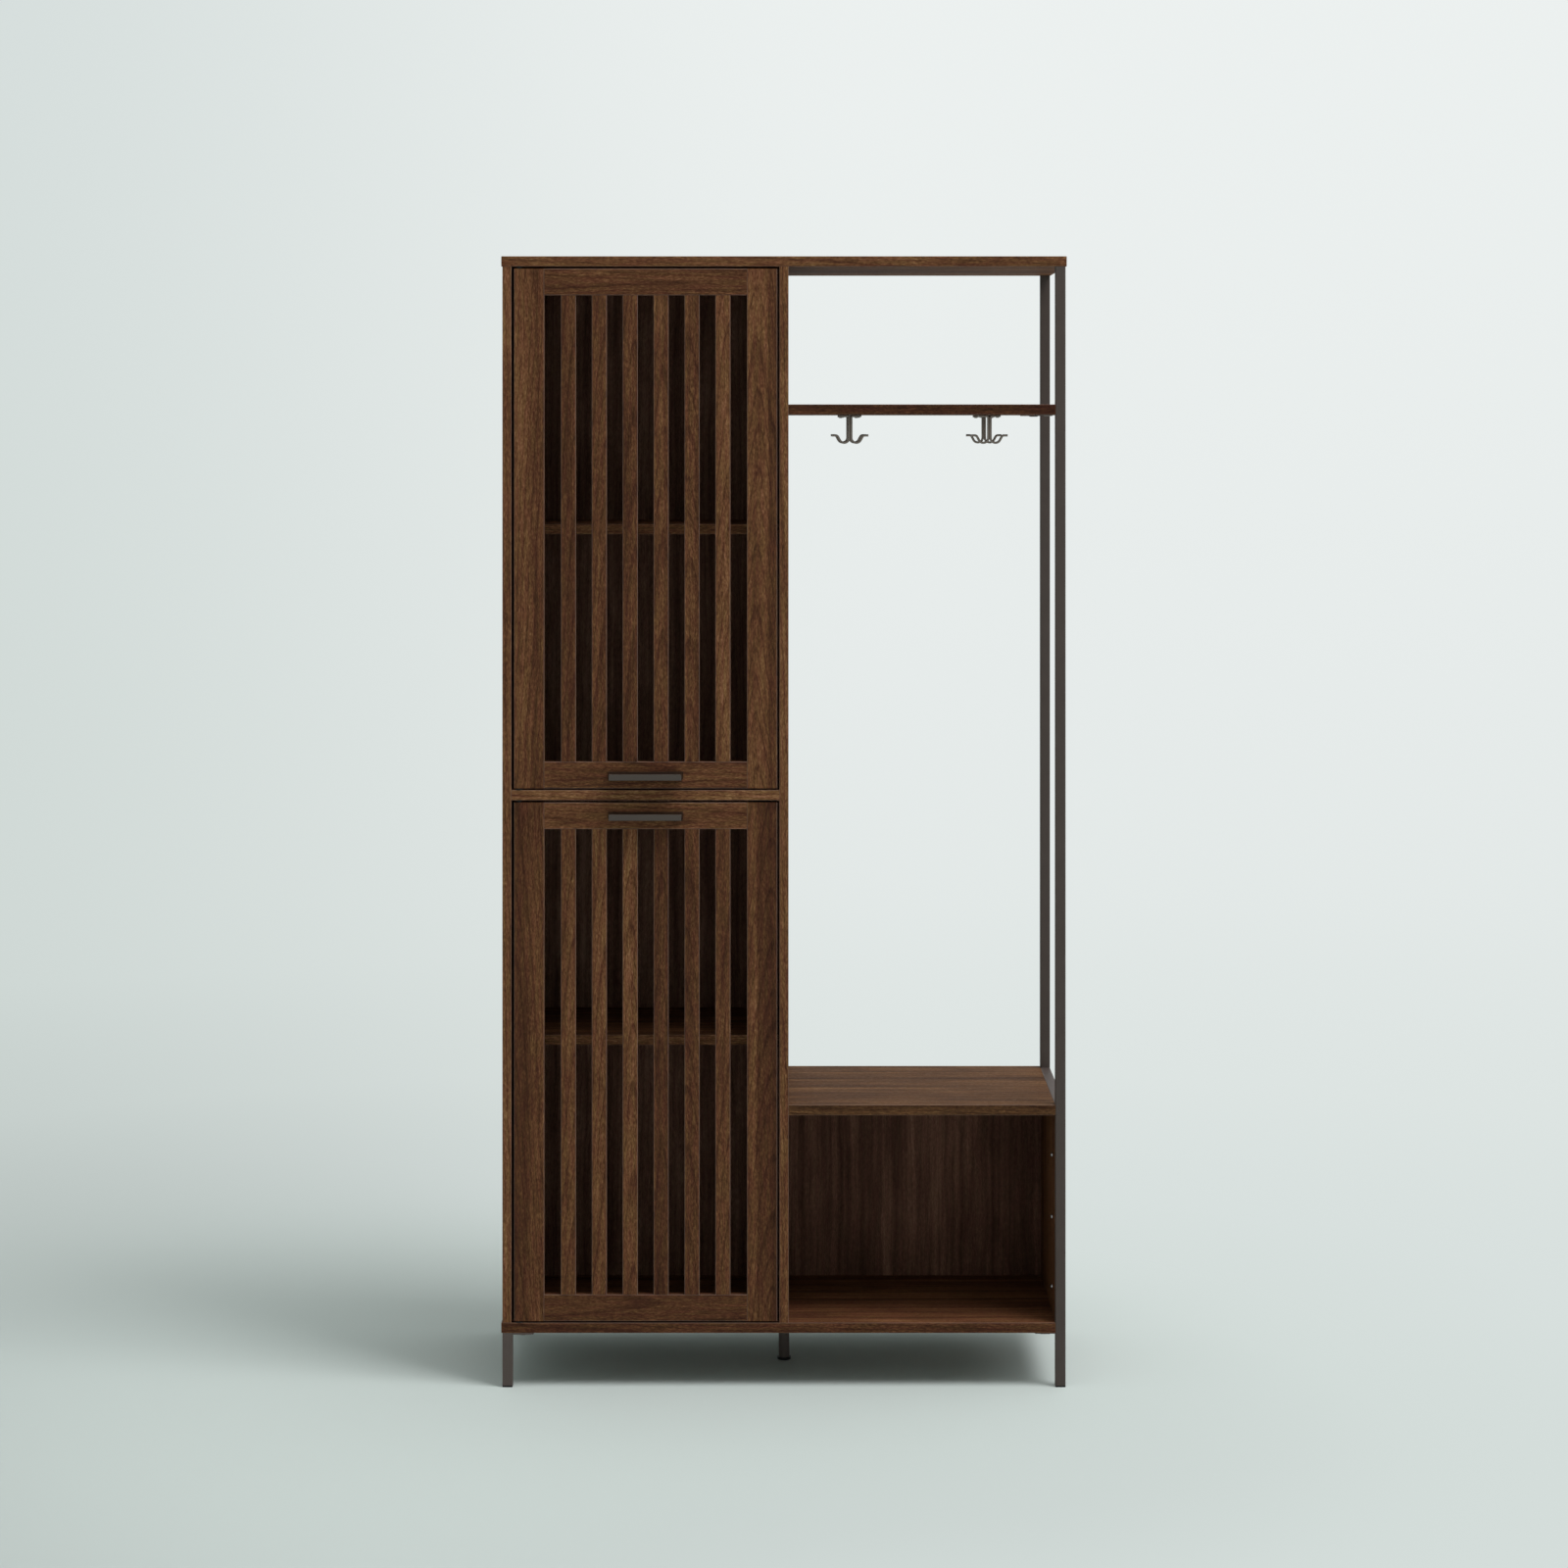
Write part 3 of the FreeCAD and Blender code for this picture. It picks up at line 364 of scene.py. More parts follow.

# %% [markdown]
# The frame and the legs are mild steel tube with a satin powder coat in a warm dark grey. Powder
# melts into a skin with a fine orange peel: soft dimples a millimetre or so wide. It is a dielectric
# and shows its own colour evenly. The legs have a lighter copy of the same coat: painted light, for
# the light that they catch from the bright floor. The handles are cast zinc with a dark gunmetal
# plating, and the hooks' gunmetal lacquer is full of metal flakes. Both are shaded as metals, so they
# mirror what is round them: the pale paper in front, and the dark door or shelf where they turn to
# it. So does the zinc plate on the small screws, which is much brighter.


# %% Painted steel, plated steel and plastic
coat_gloss = 0.2
cloud_size = 40 * mm
sheen_change = 0.06
peel_strength = 0.6


def coated(name, hex_colour, hex_worn, roughness, peel_size, peel_depth, metallic=0.0):
    """A coated or moulded surface with a fine dimpled skin and a faint cloudiness in its colour."""
    material = bpy.data.materials.new(name)
    material.use_nodes = True
    tree = material.node_tree
    shader = tree.nodes["Principled BSDF"]
    place = add(tree, "ShaderNodeTexCoord").outputs["Object"]
    peel = add(tree, "ShaderNodeTexNoise", {"Vector": place, "Scale": 1 / peel_size, "Detail": 2.0})
    cloud = add(tree, "ShaderNodeTexNoise", {"Vector": place, "Scale": 1 / cloud_size, "Detail": 3.0})
    colour = add(tree, "ShaderNodeMix", {0: cloud, 6: linear(hex_colour), 7: linear(hex_worn)},
                 data_type="RGBA")
    tree.links.new(colour.outputs[2], shader.inputs["Base Color"])
    sheen = add(tree, "ShaderNodeMapRange", {"Value": cloud, "To Min": roughness - sheen_change,
                                             "To Max": roughness + sheen_change})
    tree.links.new(sheen.outputs[0], shader.inputs["Roughness"])
    bump = add(tree, "ShaderNodeBump", {"Height": peel, "Distance": peel_depth, "Strength": peel_strength})
    tree.links.new(bump.outputs[0], shader.inputs["Normal"])
    shader.inputs["Metallic"].default_value = metallic
    if not metallic:
        shader.inputs["Specular IOR Level"].default_value = coat_gloss
    return material


powder_coat = coated("powder_coated_steel", "#483E3A", "#4F4541", 0.5, 1.2 * mm, 0.05 * mm)
# Painted light: the legs' coat is the same paint made lighter, for the light the legs catch from the floor.
floor_lit_leg_coat = coated("powder_coated_legs_painted_lighter", "#544945", "#5B504C", 0.5, 1.2 * mm, 0.05 * mm)
handle_metal = coated("gunmetal_plated_zinc", "#534C47", "#59524D", 0.38, 0.8 * mm, 0.006 * mm, 1.0)
screw_coat = coated("gunmetal_screw_coat", "#6B625B", "#756C64", 0.35, 0.8 * mm, 0.006 * mm)
hook_lacquer = coated("gunmetal_metallic_lacquer", "#756C64", "#7E756D", 0.35, 0.8 * mm, 0.006 * mm, 1.0)
zinc_plate = coated("zinc_plated_steel", "#B9BABB", "#A9AAAC", 0.32, 1.5 * mm, 0.02 * mm, 1.0)
phosphate = coated("black_phosphated_steel", "#232221", "#2B2A29", 0.55, 0.8 * mm, 0.02 * mm)
black_plastic = coated("moulded_black_plastic", "#151515", "#1B1B1B", 0.5, 0.9 * mm, 0.04 * mm)

slot_finishes = {
    "frame_steel": powder_coat,
    "handle_metal": handle_metal,
    "hook_steel": screw_coat,
    "bright_steel": zinc_plate,
    "dark_steel": phosphate,
    "black_plastic": black_plastic,
}
for subpart in frame["record"]["subparts"]:
    finish = slot_finishes.get(subpart["material_slot"])
    if finish:
        dress(subpart["node"], floor_lit_leg_coat if subpart["node"].endswith("_leg") else finish)
print("finishes:", sorted(m.name for m in slot_finishes.values()))

# %% [markdown]
# The small parts are made with Geometry Nodes. A part that repeats is one shape instanced on a mesh
# of loose points, where each point says the place, and its attributes say the rest: which way a
# screw looks, or the seed and the tone of a slat's veneer. Changing a size in the modifier changes
# all of them together. Instances don't survive an export, so each tree realizes them, and the
# result is turned into a plain mesh. Each piece hangs on an empty for its body, so a piece that
# belongs to a door is one mesh that rides on that door.


# %% From a Geometry Nodes tree to a plain piece
edge_angle = math.radians(35)


def new_tree(name, sizes):
    """An empty geometry tree with its group input. sizes maps input names to their defaults."""
    tree = bpy.data.node_groups.new(name, "GeometryNodeTree")
    tree.interface.new_socket("Geometry", in_out="INPUT", socket_type="NodeSocketGeometry")
    for size, value in sizes.items():
        tree.interface.new_socket(size, in_out="INPUT", socket_type="NodeSocketFloat").default_value = value
    tree.interface.new_socket("Material", in_out="INPUT", socket_type="NodeSocketMaterial")
    tree.interface.new_socket("Geometry", in_out="OUTPUT", socket_type="NodeSocketGeometry")
    return tree, add(tree, "NodeGroupInput").outputs


def end_tree(tree, shape, material):
    """The end of every tree: real geometry with its material."""
    real = add(tree, "GeometryNodeRealizeInstances", {"Geometry": shape})
    finished = add(tree, "GeometryNodeSetMaterial", {"Geometry": real, "Material": material})
    add(tree, "NodeGroupOutput", {"Geometry": finished})


def point_mesh(name, points, edges=(), **attributes):
    """A mesh of loose points or lines that a tree builds on. Each attribute has one value a point."""
    mesh = bpy.data.meshes.new(name)
    mesh.from_pydata([tuple(point) for point in points], edges, [])
    for label, values in attributes.items():
        vector = hasattr(values[0], "__len__")
        layer = mesh.attributes.new(label, "FLOAT_VECTOR" if vector else "FLOAT", "POINT")
        flat = [v for value in values for v in value] if vector else values
        layer.data.foreach_set("vector" if vector else "value", flat)
    return mesh


def built(name, mesh, tree, sizes, material, body, slot_name, replaced, smooth_under=edge_angle):
    """The piece that a tree makes on a mesh, as a plain mesh that rides on a body."""
    piece = bpy.data.objects.new(name, mesh)
    bpy.context.scene.collection.objects.link(piece)
    modifier = piece.modifiers.new(tree.name, "NODES")
    modifier.node_group = tree
    sockets = {item.name: item.identifier for item in tree.interface.items_tree if item.in_out == "INPUT"}
    modifier[sockets["Material"]] = material
    for size, value in sizes.items():
        modifier[sockets[size]] = value
    finished = bpy.data.meshes.new_from_object(piece.evaluated_get(bpy.context.evaluated_depsgraph_get()))
    piece.modifiers.clear()
    return kept(piece, finished, body, slot_name, replaced, smooth_under)


def kept(piece, finished, body, slot_name, replaced, smooth_under):
    """A piece with its final mesh, which rides on a body and stands for the replaced CAD nodes."""
    finished.name = piece.name
    finished.shade_smooth()
    finished.set_sharp_from_angle(angle=smooth_under)
    piece.data = finished
    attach(piece, body)
    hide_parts(*replaced)
    size = [round(v / mm, 1) for v in piece.dimensions]
    print(piece.name, "faces", len(finished.polygons), "size in mm", size)
    return piece


# %% [markdown]
# The door members are moulded chipboard bars wrapped in laminate: the foil is folded round a 1 mm
# radius, so no edge is sharp, and each rounded edge shows a thin line of light, made brighter by the
# laminate's painted highlight on its folds. A bar is a rounded rectangle swept along a short line.
# Each one is cut from another place in the printed sheet, so it has a tone and a figure of its own,
# which come from its point's attributes.

# %% Stiles, rails and slats of the doors
bar_edge = 1.1 * mm
edge_steps = 4
flat_faces = 0.0


def section(tree, inputs):
    """A rounded rectangle as the section of a bar or a strip."""
    corners = add(tree, "GeometryNodeCurvePrimitiveQuadrilateral", {"Width": inputs["Width"],
                                                                   "Height": inputs["Thickness"]})
    return add(tree, "GeometryNodeFilletCurve", {"Curve": corners, "Radius": inputs["Edge radius"],
                                                 "Count": edge_steps}, mode="POLY")


def bar_tree():
    """Bars with rounded edges, one on each point, upright unless the point turns it."""
    tree, inputs = new_tree("wrapped_bars", {"Width": 0.03, "Thickness": 0.02, "Length": 0.8,
                                             "Edge radius": bar_edge})
    high = add(tree, "ShaderNodeMath", {0: inputs["Length"], 1: 0.5}, operation="MULTIPLY")
    low = add(tree, "ShaderNodeMath", {0: inputs["Length"], 1: -0.5}, operation="MULTIPLY")
    high = add(tree, "ShaderNodeCombineXYZ", {"Z": high})
    low = add(tree, "ShaderNodeCombineXYZ", {"Z": low})
    stick = add(tree, "GeometryNodeCurvePrimitiveLine", {"Start": low, "End": high})
    bar = add(tree, "GeometryNodeCurveToMesh", {"Curve": stick, "Profile Curve": section(tree, inputs),
                                                "Fill Caps": True})
    turn = add(tree, "GeometryNodeInputNamedAttribute", {"Name": "turn"}, data_type="FLOAT_VECTOR")
    row = add(tree, "GeometryNodeInstanceOnPoints", {"Points": inputs["Geometry"], "Instance": bar,
                                                     "Rotation": turn})
    end_tree(tree, row, inputs["Material"])
    return tree


wrapped_bars = bar_tree()
upright, lying = (0.0, 0.0, 0.0), (0.0, math.radians(90), 0.0)
plain = (0.0, 0.0, 1.0)
# Each bar: its seed, its tone, the log's heart, and the joint of two leaves of veneer, if it has one.
door_bars = {
    "upper_door": {
        "stiles": {
            "hinge_stile": (21.0, 0.05, (60.0, 20.0, 0.05), (6.0, -0.08, 8.0)),
            "free_stile": (22.0, 0.1, (-8.0, 9.0, 0.12), (10.4, -0.2, 2.0)),
        },
        "rails": {
            "top_rail": (23.0, 0.0, (0.0, 14.0, 0.02), plain),
            "bottom_rail": (24.0, -0.03, (10.0, 30.0, 0.03), plain),
        },
        "slats": {
            "slat_1": (31.0, -0.05, (20.0, 30.0, 0.05), plain),
            "slat_2": (32.0, -0.04, (15.0, 20.0, 0.08), plain),
            "slat_3": (33.0, -0.06, (10.0, 20.0, 0.06), plain),
            "slat_4": (34.0, -0.02, (4.0, 10.0, 0.08), plain),
            "slat_5": (35.0, 0.0, (-6.0, 15.0, 0.1), (4.0, -0.1, 2.0)),
            "slat_6": (36.0, 0.12, (20.0, 30.0, 0.08), plain),
        },
    },
    "lower_door": {
        "stiles": {
            "hinge_stile": (25.0, -0.15, (-30.0, 20.0, 0.06), (-14.0, 0.2, 40.0)),
            "free_stile": (26.0, 0.02, (20.0, 24.0, 0.12), (-12.0, -0.18, 6.0)),
        },
        "rails": {
            "top_rail": (27.0, 0.08, (-10.0, 20.0, 0.03), plain),
            "bottom_rail": (28.0, -0.08, (10.0, 60.0, 0.03), plain),
        },
        "slats": {
            "slat_1": (37.0, 0.0, (20.0, 30.0, 0.08), plain),
            "slat_2": (38.0, 0.05, (15.0, 20.0, 0.06), plain),
            "slat_3": (39.0, 0.06, (5.0, 12.0, 0.08), plain),
            "slat_4": (40.0, -0.12, (0.0, 15.0, 0.05), plain),
            "slat_5": (41.0, -0.07, (-10.0, 20.0, 0.08), plain),
            "slat_6": (42.0, 0.0, (20.0, 30.0, 0.06), plain),
        },
    },
}
rail_height = 47 * mm
stile_width = 53.5 * mm
slat_width = 26.5 * mm


def bar_row(door, part, bars):
    """The stiles, the rails or the slats of one door as one piece."""
    replaced = [door + "_" + name for name in bars]
    low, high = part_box(replaced[0])
    turn, grain = (lying, axis_x) if part == "rails" else (upright, axis_z)
    middles = [sum(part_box(node), Vector()) / 2 for node in replaced]
    seeds, tones, hearts, joints = zip(*bars.values())
    inner_x = (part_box(door + "_hinge_stile")[1].x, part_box(door + "_free_stile")[0].x)
    inner_z = (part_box(door + "_bottom_rail")[1].z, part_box(door + "_top_rail")[0].z)
    width, length = {
        "stiles": (stile_width, high.z - low.z),
        "rails": (rail_height, inner_x[1] - inner_x[0]),
        "slats": (slat_width, inner_z[1] - inner_z[0]),
    }[part]
    sizes = {"Width": width, "Thickness": high.y - low.y, "Length": length, "Edge radius": bar_edge}
    name = door + "_" + part
    points = point_mesh(name, middles, middle=middles, turn=[turn] * len(bars), seed=seeds, tone=tones,
                        heart=hearts, joint=joints)
    finish = walnut(name, None, grain, axis_y)
    return built(name, points, wrapped_bars, sizes, finish, door, "walnut_laminate", replaced, flat_faces)


for door, parts in door_bars.items():
    for part, bars in parts.items():
        bar_row(door, part, bars)

# %% [markdown]
# The coat hooks are flat bar, cold bent and then coated. Their shape is a path: a few corners, each
# with its own bend radius, and a rounded section swept along them. Each point carries the radius of
# its bend and the way across the bar, so that the bar doesn't twist. A double hook is two strips
# welded back to back along the stem.

# %% Coat hooks
strip_thickness, strip_width, strip_edge = 4.0 * mm, 14 * mm, 1.2 * mm
hook_foot, hook_top_bend, hook_cup, hook_lip_bend = 20 * mm, 2.8 * mm, 8.9 * mm, 5 * mm
hook_drop = 41.4 * mm
hook_stem = hook_drop - strip_thickness / 2 - hook_top_bend
rise_angle, rise_length, hook_lip = math.radians(62), 6.6 * mm, 6.3 * mm
hook_xs, hook_ys = (119 * mm, 369 * mm), (-80 * mm, 108 * mm)
coat_shelf_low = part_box("coat_shelf")[0].z
bend_steps = 9
bend_angle = math.radians(20)


def strip_tree():
    """A bar with rounded edges swept along bent paths."""
    tree, inputs = new_tree("bent_bars", {"Width": 0.014, "Thickness": 0.003, "Edge radius": 0.0005})
    paths = add(tree, "GeometryNodeMeshToCurve", {"Mesh": inputs["Geometry"]})
    bend = add(tree, "GeometryNodeInputNamedAttribute", {"Name": "bend"}, data_type="FLOAT")
    bent = add(tree, "GeometryNodeFilletCurve", {"Curve": paths, "Radius": bend, "Count": bend_steps},
               mode="POLY")
    across = add(tree, "GeometryNodeInputNamedAttribute", {"Name": "side"}, data_type="FLOAT_VECTOR")
    kept = add(tree, "GeometryNodeSetCurveNormal", {"Curve": bent, "Normal": across}, mode="FREE")
    bars = add(tree, "GeometryNodeCurveToMesh", {"Curve": kept, "Profile Curve": section(tree, inputs),
                                                 "Fill Caps": True})
    end_tree(tree, bars, inputs["Material"])
    return tree


def paths_mesh(name, paths, side):
    """A mesh of open paths. A path is a list of (corner, bend radius)."""
    points, bends, edges = [], [], []
    for path in paths:
        edges += [(len(points) + n, len(points) + n + 1) for n in range(len(path) - 1)]
        points += [corner for corner, _ in path]
        bends += [bend for _, bend in path]
    return point_mesh(name, points, edges, bend=bends, side=[side] * len(points))


def hook_paths(x, y):
    """The two strips of a double hook that hangs under the coat shelf at x, y."""
    paths = []
    for way in (-1, 1):
        flat = coat_shelf_low - strip_thickness / 2
        stem = x + way * strip_thickness / 2
        bottom = flat - hook_top_bend - hook_stem - hook_cup
        turned = hook_cup * math.tan(rise_angle / 2)
        lip_turned = hook_lip_bend * math.tan(rise_angle / 2)
        rise = turned + rise_length + lip_turned
        valley = stem + way * (hook_cup + turned)
        crest = valley + way * rise * math.cos(rise_angle)
        lip = bottom + rise * math.sin(rise_angle)
        paths.append([
            ((x + way * hook_foot, y, flat), 0.0),
            ((stem, y, flat), hook_top_bend),
            ((stem, y, bottom), hook_cup),
            ((valley, y, bottom), hook_cup),
            ((crest, y, lip), hook_lip_bend),
            ((crest + way * (lip_turned + hook_lip), y, lip), 0.0),
        ])
    return paths


hooks = [path for y in hook_ys for x in hook_xs for path in hook_paths(x, y)]
hook_nodes = ["coat_hook_" + row + side for row in ("front_", "rear_") for side in ("left", "right")]
built("coat_hooks", paths_mesh("coat_hooks", hooks, (0, 1, 0)), strip_tree(),
      {"Width": strip_width, "Thickness": strip_thickness, "Edge radius": strip_edge}, hook_lacquer,
      "carcass", "hook_steel", hook_nodes, bend_angle)

# %% [markdown]
# The handles are shell pulls, cast in zinc: a flat bar in front, a foot at each end and a thin top
# that closes the gap to the door, with a pocket for the fingers underneath. The sides and the top
# flare a little towards the door, so they show round the bar as a thin dark rim, because the metal
# mirrors the door there. A few corner points say all that, so the shell is built face by face, and
# a bevel takes the sharpness off its edges.

# %% Handles
pull_bar, pull_wall, pull_flare = 8 * mm, 2 * mm, 2.5 * mm
pull_edge, pull_edge_steps = 0.6 * mm, 3
least_bend = math.radians(5)


def shell_pull(door):
    """The handle of a door, as a closed shape with a pocket in its underside."""
    low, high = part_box(door + "_handle")
    shell = bmesh.new()
    corners = ((low.x, low.z), (high.x, low.z), (high.x, high.z), (low.x, high.z))
    front = [shell.verts.new((x, low.y, z)) for x, z in corners]
    left, right, top = low.x - pull_flare, high.x + pull_flare, high.z + pull_flare
    corners = ((left, low.z), (right, low.z), (right, top), (left, top))
    back = [shell.verts.new((x, high.y, z)) for x, z in corners]
    left, right = low.x + pull_bar, high.x - pull_bar
    near, far = low.y + pull_bar, high.y - pull_wall
    corners = ((left, near), (right, near), (right, far), (left, far))
    mouth = [shell.verts.new((x, y, low.z)) for x, y in corners]
    ceiling = [shell.verts.new((v.co.x, v.co.y, high.z - pull_wall)) for v in mouth]
    rim = (front[0], front[1], back[1], back[0])
    for face in (front, back, ceiling):
        shell.faces.new(face)
    for n in (1, 2, 3):
        after = (n + 1) % 4
        shell.faces.new((front[n], back[n], back[after], front[after]))
    for n in range(4):
        after = (n + 1) % 4
        shell.faces.new((rim[n], rim[after], mouth[after], mouth[n]))
        shell.faces.new((mouth[n], mouth[after], ceiling[after], ceiling[n]))
    bmesh.ops.recalc_face_normals(shell, faces=shell.faces)
    sharp = [edge for edge in shell.edges if edge.calc_face_angle() > least_bend]
    edges = [edge for edge in sharp if min(v.co.y for v in edge.verts) < far]
    bmesh.ops.bevel(shell, geom=edges, offset=pull_edge, segments=pull_edge_steps, profile=0.5,
                    affect="EDGES")
    mesh = bpy.data.meshes.new(door + "_bar_handle")
    shell.to_mesh(mesh)
    shell.free()
    mesh.materials.append(handle_metal)
    piece = bpy.data.objects.new(door + "_bar_handle", mesh)
    bpy.context.scene.collection.objects.link(piece)
    return kept(piece, mesh, door, "handle_metal", [door + "_handle"], flat_faces)


for door in door_bars:
    shell_pull(door)

# %% [markdown]
# Screws and bolts are made once for each kind and placed on points. A head starts as a short closed
# cylinder. Its top face is extruded and shrunk in steps for the dome, and once more without a rise
# for the rim of the recess, whose corners then move to the shape of a cross or a hexagon. The last
# step pushes that face down. Only the heads show, because the shanks are inside the boards.

# %% Screw and bolt heads
head_sides = 48
spin_seed = 5
cross_arm = 0.3
wall_share = 0.4
dome_steps = ((0.25, 0.94), (0.2, 0.86), (0.15, 0.72), (0.0, 0.9))
recess_taper = 0.75


def head_tree(name, corners):
    """Heads on points, each turned as its point says, with a cross recess or one with flat sides."""
    maths = "ShaderNodeMath"
    tree, inputs = new_tree(name, {"Radius": 0.004, "Height": 0.002, "Recess radius": 0.002,
                                   "Recess depth": 0.001})
    wall = add(tree, maths, {0: inputs["Height"], 1: wall_share}, operation="MULTIPLY")
    base = add(tree, "GeometryNodeMeshCylinder", {"Vertices": head_sides, "Radius": inputs["Radius"],
                                                  "Depth": wall})
    lift = add(tree, maths, {0: wall, 1: 0.5}, operation="MULTIPLY")
    lift = add(tree, "ShaderNodeCombineXYZ", {"Z": lift})
    shape = add(tree, "GeometryNodeSetPosition", {"Geometry": base.outputs["Mesh"], "Offset": lift})
    top = base.outputs["Top"]
    for rise, shrink in dome_steps:
        lift = add(tree, maths, {0: inputs["Height"], 1: rise}, operation="MULTIPLY")
        lift = add(tree, "ShaderNodeCombineXYZ", {"Z": lift})
        step = add(tree, "GeometryNodeExtrudeMesh", {"Mesh": shape, "Selection": top, "Individual": False,
                                                     "Offset": lift})
        top = step.outputs["Top"]
        shape = add(tree, "GeometryNodeScaleElements", {"Geometry": step.outputs["Mesh"], "Selection": top,
                                                        "Scale": shrink})
    place = add(tree, "GeometryNodeInputPosition")
    parts = add(tree, "ShaderNodeSeparateXYZ", {0: place}).outputs
    angle = add(tree, maths, {0: parts["Y"], 1: parts["X"]}, operation="ARCTAN2")
    half = math.pi / corners
    angle = add(tree, maths, {0: angle, 1: half, 2: -half}, operation="WRAP")
    if corners == 4:
        arm = add(tree, maths, {0: angle}, operation="SINE")
        arm = add(tree, maths, {0: arm}, operation="ABSOLUTE")
        rim = add(tree, maths, {0: cross_arm, 1: arm}, operation="DIVIDE")
        rim = add(tree, maths, {0: rim, 1: 1.0}, operation="MINIMUM")
    else:
        side = add(tree, maths, {0: angle}, operation="COSINE")
        rim = add(tree, maths, {0: math.cos(half), 1: side}, operation="DIVIDE")
    rim = add(tree, maths, {0: rim, 1: inputs["Recess radius"]}, operation="MULTIPLY")
    flat = add(tree, "ShaderNodeVectorMath", {0: place, 1: (1, 1, 0)}, operation="MULTIPLY")
    flat = add(tree, "ShaderNodeVectorMath", {0: flat}, operation="NORMALIZE")
    flat = add(tree, "ShaderNodeVectorMath", {0: flat, 3: rim}, operation="SCALE")
    level = add(tree, "ShaderNodeCombineXYZ", {"Z": parts["Z"]})
    moved = add(tree, "ShaderNodeVectorMath", {0: flat, 1: level}, operation="ADD")
    shape = add(tree, "GeometryNodeSetPosition", {"Geometry": shape, "Selection": top, "Position": moved})
    sink = add(tree, maths, {0: inputs["Recess depth"], 1: -1.0}, operation="MULTIPLY")
    sink = add(tree, "ShaderNodeCombineXYZ", {"Z": sink})
    sunk = add(tree, "GeometryNodeExtrudeMesh", {"Mesh": shape, "Selection": top, "Individual": False,
                                                 "Offset": sink})
    shape = add(tree, "GeometryNodeScaleElements", {"Geometry": sunk.outputs["Mesh"],
                                                    "Selection": sunk.outputs["Top"],
                                                    "Scale": recess_taper})
    turn = add(tree, "GeometryNodeInputNamedAttribute", {"Name": "turn"}, data_type="FLOAT_VECTOR")
    placed = add(tree, "GeometryNodeInstanceOnPoints", {"Points": inputs["Geometry"],
                                                        "Instance": shape, "Rotation": turn})
    spin = add(tree, "FunctionNodeRandomValue", {"Max": math.radians(360), "Seed": spin_seed},
               data_type="FLOAT")
    spin = add(tree, "ShaderNodeCombineXYZ", {"Z": spin})
    placed = add(tree, "GeometryNodeRotateInstances", {"Instances": placed, "Local Space": True,
                                                       "Rotation": spin})
    end_tree(tree, placed, inputs["Material"])
    return tree


cross_heads = head_tree("cross_heads", 4)
socket_heads = head_tree("socket_heads", 6)
up, down = (0.0, 0.0, 0.0), (math.radians(180), 0.0, 0.0)
backward, leftward = (math.radians(-90), 0.0, 0.0), (0.0, math.radians(-90), 0.0)
foot_screw_reach, head_sink = 14.5 * mm, 3.2 * mm
catch_xs, catch_y, catch_zs = (-59.25 * mm, -18.25 * mm), -158.49 * mm, (1058.5 * mm, 1035.5 * mm)
infill_x, infill_y, infill_zs = 480 * mm, -106 * mm, (159.88 * mm, 285 * mm, 395.86 * mm)
bolt_ys = (-177 * mm, 205 * mm)
shelf_bolt = (467.7 * mm, 1718.8 * mm)
floor_bolts = ((-461.5 * mm, 93 * mm), (461.5 * mm, 94.8 * mm))
handle_screw_inset = 4 * mm

wood_screws = [((x + way * foot_screw_reach, y, coat_shelf_low - head_sink), down)
               for x in hook_xs for y in hook_ys for way in (-1, 1)]
wood_screws += [((x, catch_y, z), way) for z, way in zip(catch_zs, (up, down)) for x in catch_xs]
infill_screws = [((infill_x, infill_y, z), leftward) for z in infill_zs]
bolts = [((shelf_bolt[0], y, shelf_bolt[1]), down) for y in bolt_ys]
bolts += [((x, y, z), down) for y in bolt_ys for x, z in floor_bolts]

# Each head: its radius and height, and its recess's radius and depth, in millimetres.
pan_head = (3.5, 2.2, 1.9, 1.2)
infill_head = (4.25, 2.4, 2.2, 1.3)
washer_head = (8.25, 1.5, 3.0, 0.8)
machine_head = (4.0, 2.5, 2.1, 1.4)


def heads(name, tree, places, head, finish, body, slot_name, node):
    """One piece of screw or bolt heads."""
    points = point_mesh(name, [place for place, _ in places], turn=[turn for _, turn in places])
    names = ("Radius", "Height", "Recess radius", "Recess depth")
    sizes = {size: value * mm for size, value in zip(names, head)}
    built(name, points, tree, sizes, finish, body, slot_name, [node])


heads("pan_head_screws", cross_heads, wood_screws, pan_head, screw_coat, "carcass", "hook_steel",
      "wood_screws")
heads("infill_screws", cross_heads, infill_screws, infill_head, zinc_plate, "carcass", "bright_steel",
      "bench_side_screws")
heads("washer_head_bolts", socket_heads, bolts, washer_head, screw_coat, "carcass", "hook_steel",
      "tab_bolts")
for door in door_bars:
    low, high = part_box(door + "_handle_screws")
    y, z = high.y - machine_head[1] * mm, (low.z + high.z) / 2
    places = [((x, y, z), backward) for x in (low.x + handle_screw_inset, high.x - handle_screw_inset)]
    heads(door + "_handle_screw_heads", cross_heads, places, machine_head, zinc_plate, door,
          "bright_steel", door + "_handle_screws")

# %% [markdown]
# The studio is a seamless pale sweep: a flat floor that curves up far behind the object. It is made
# round, so that it is seamless from every side. Near the object the paper is matt and takes the
# shadows. Further out a camera, or a mirror, sees a glow of painted light instead. That glow paints
# the falloff of the studio's light: one ramp of colours for the left and a brighter one for the
# right, both over the distance and the height, the right one dimmed a little towards the front, and
# a share between the two that is even in front as well as behind. The left ramp's low dark stop
# paints the far tail of the object's shadow. The glow begins nearer on the right, where it paints
# over the soft shade that the object leaves on the paper, and it lights nothing more than plain
# paper would.


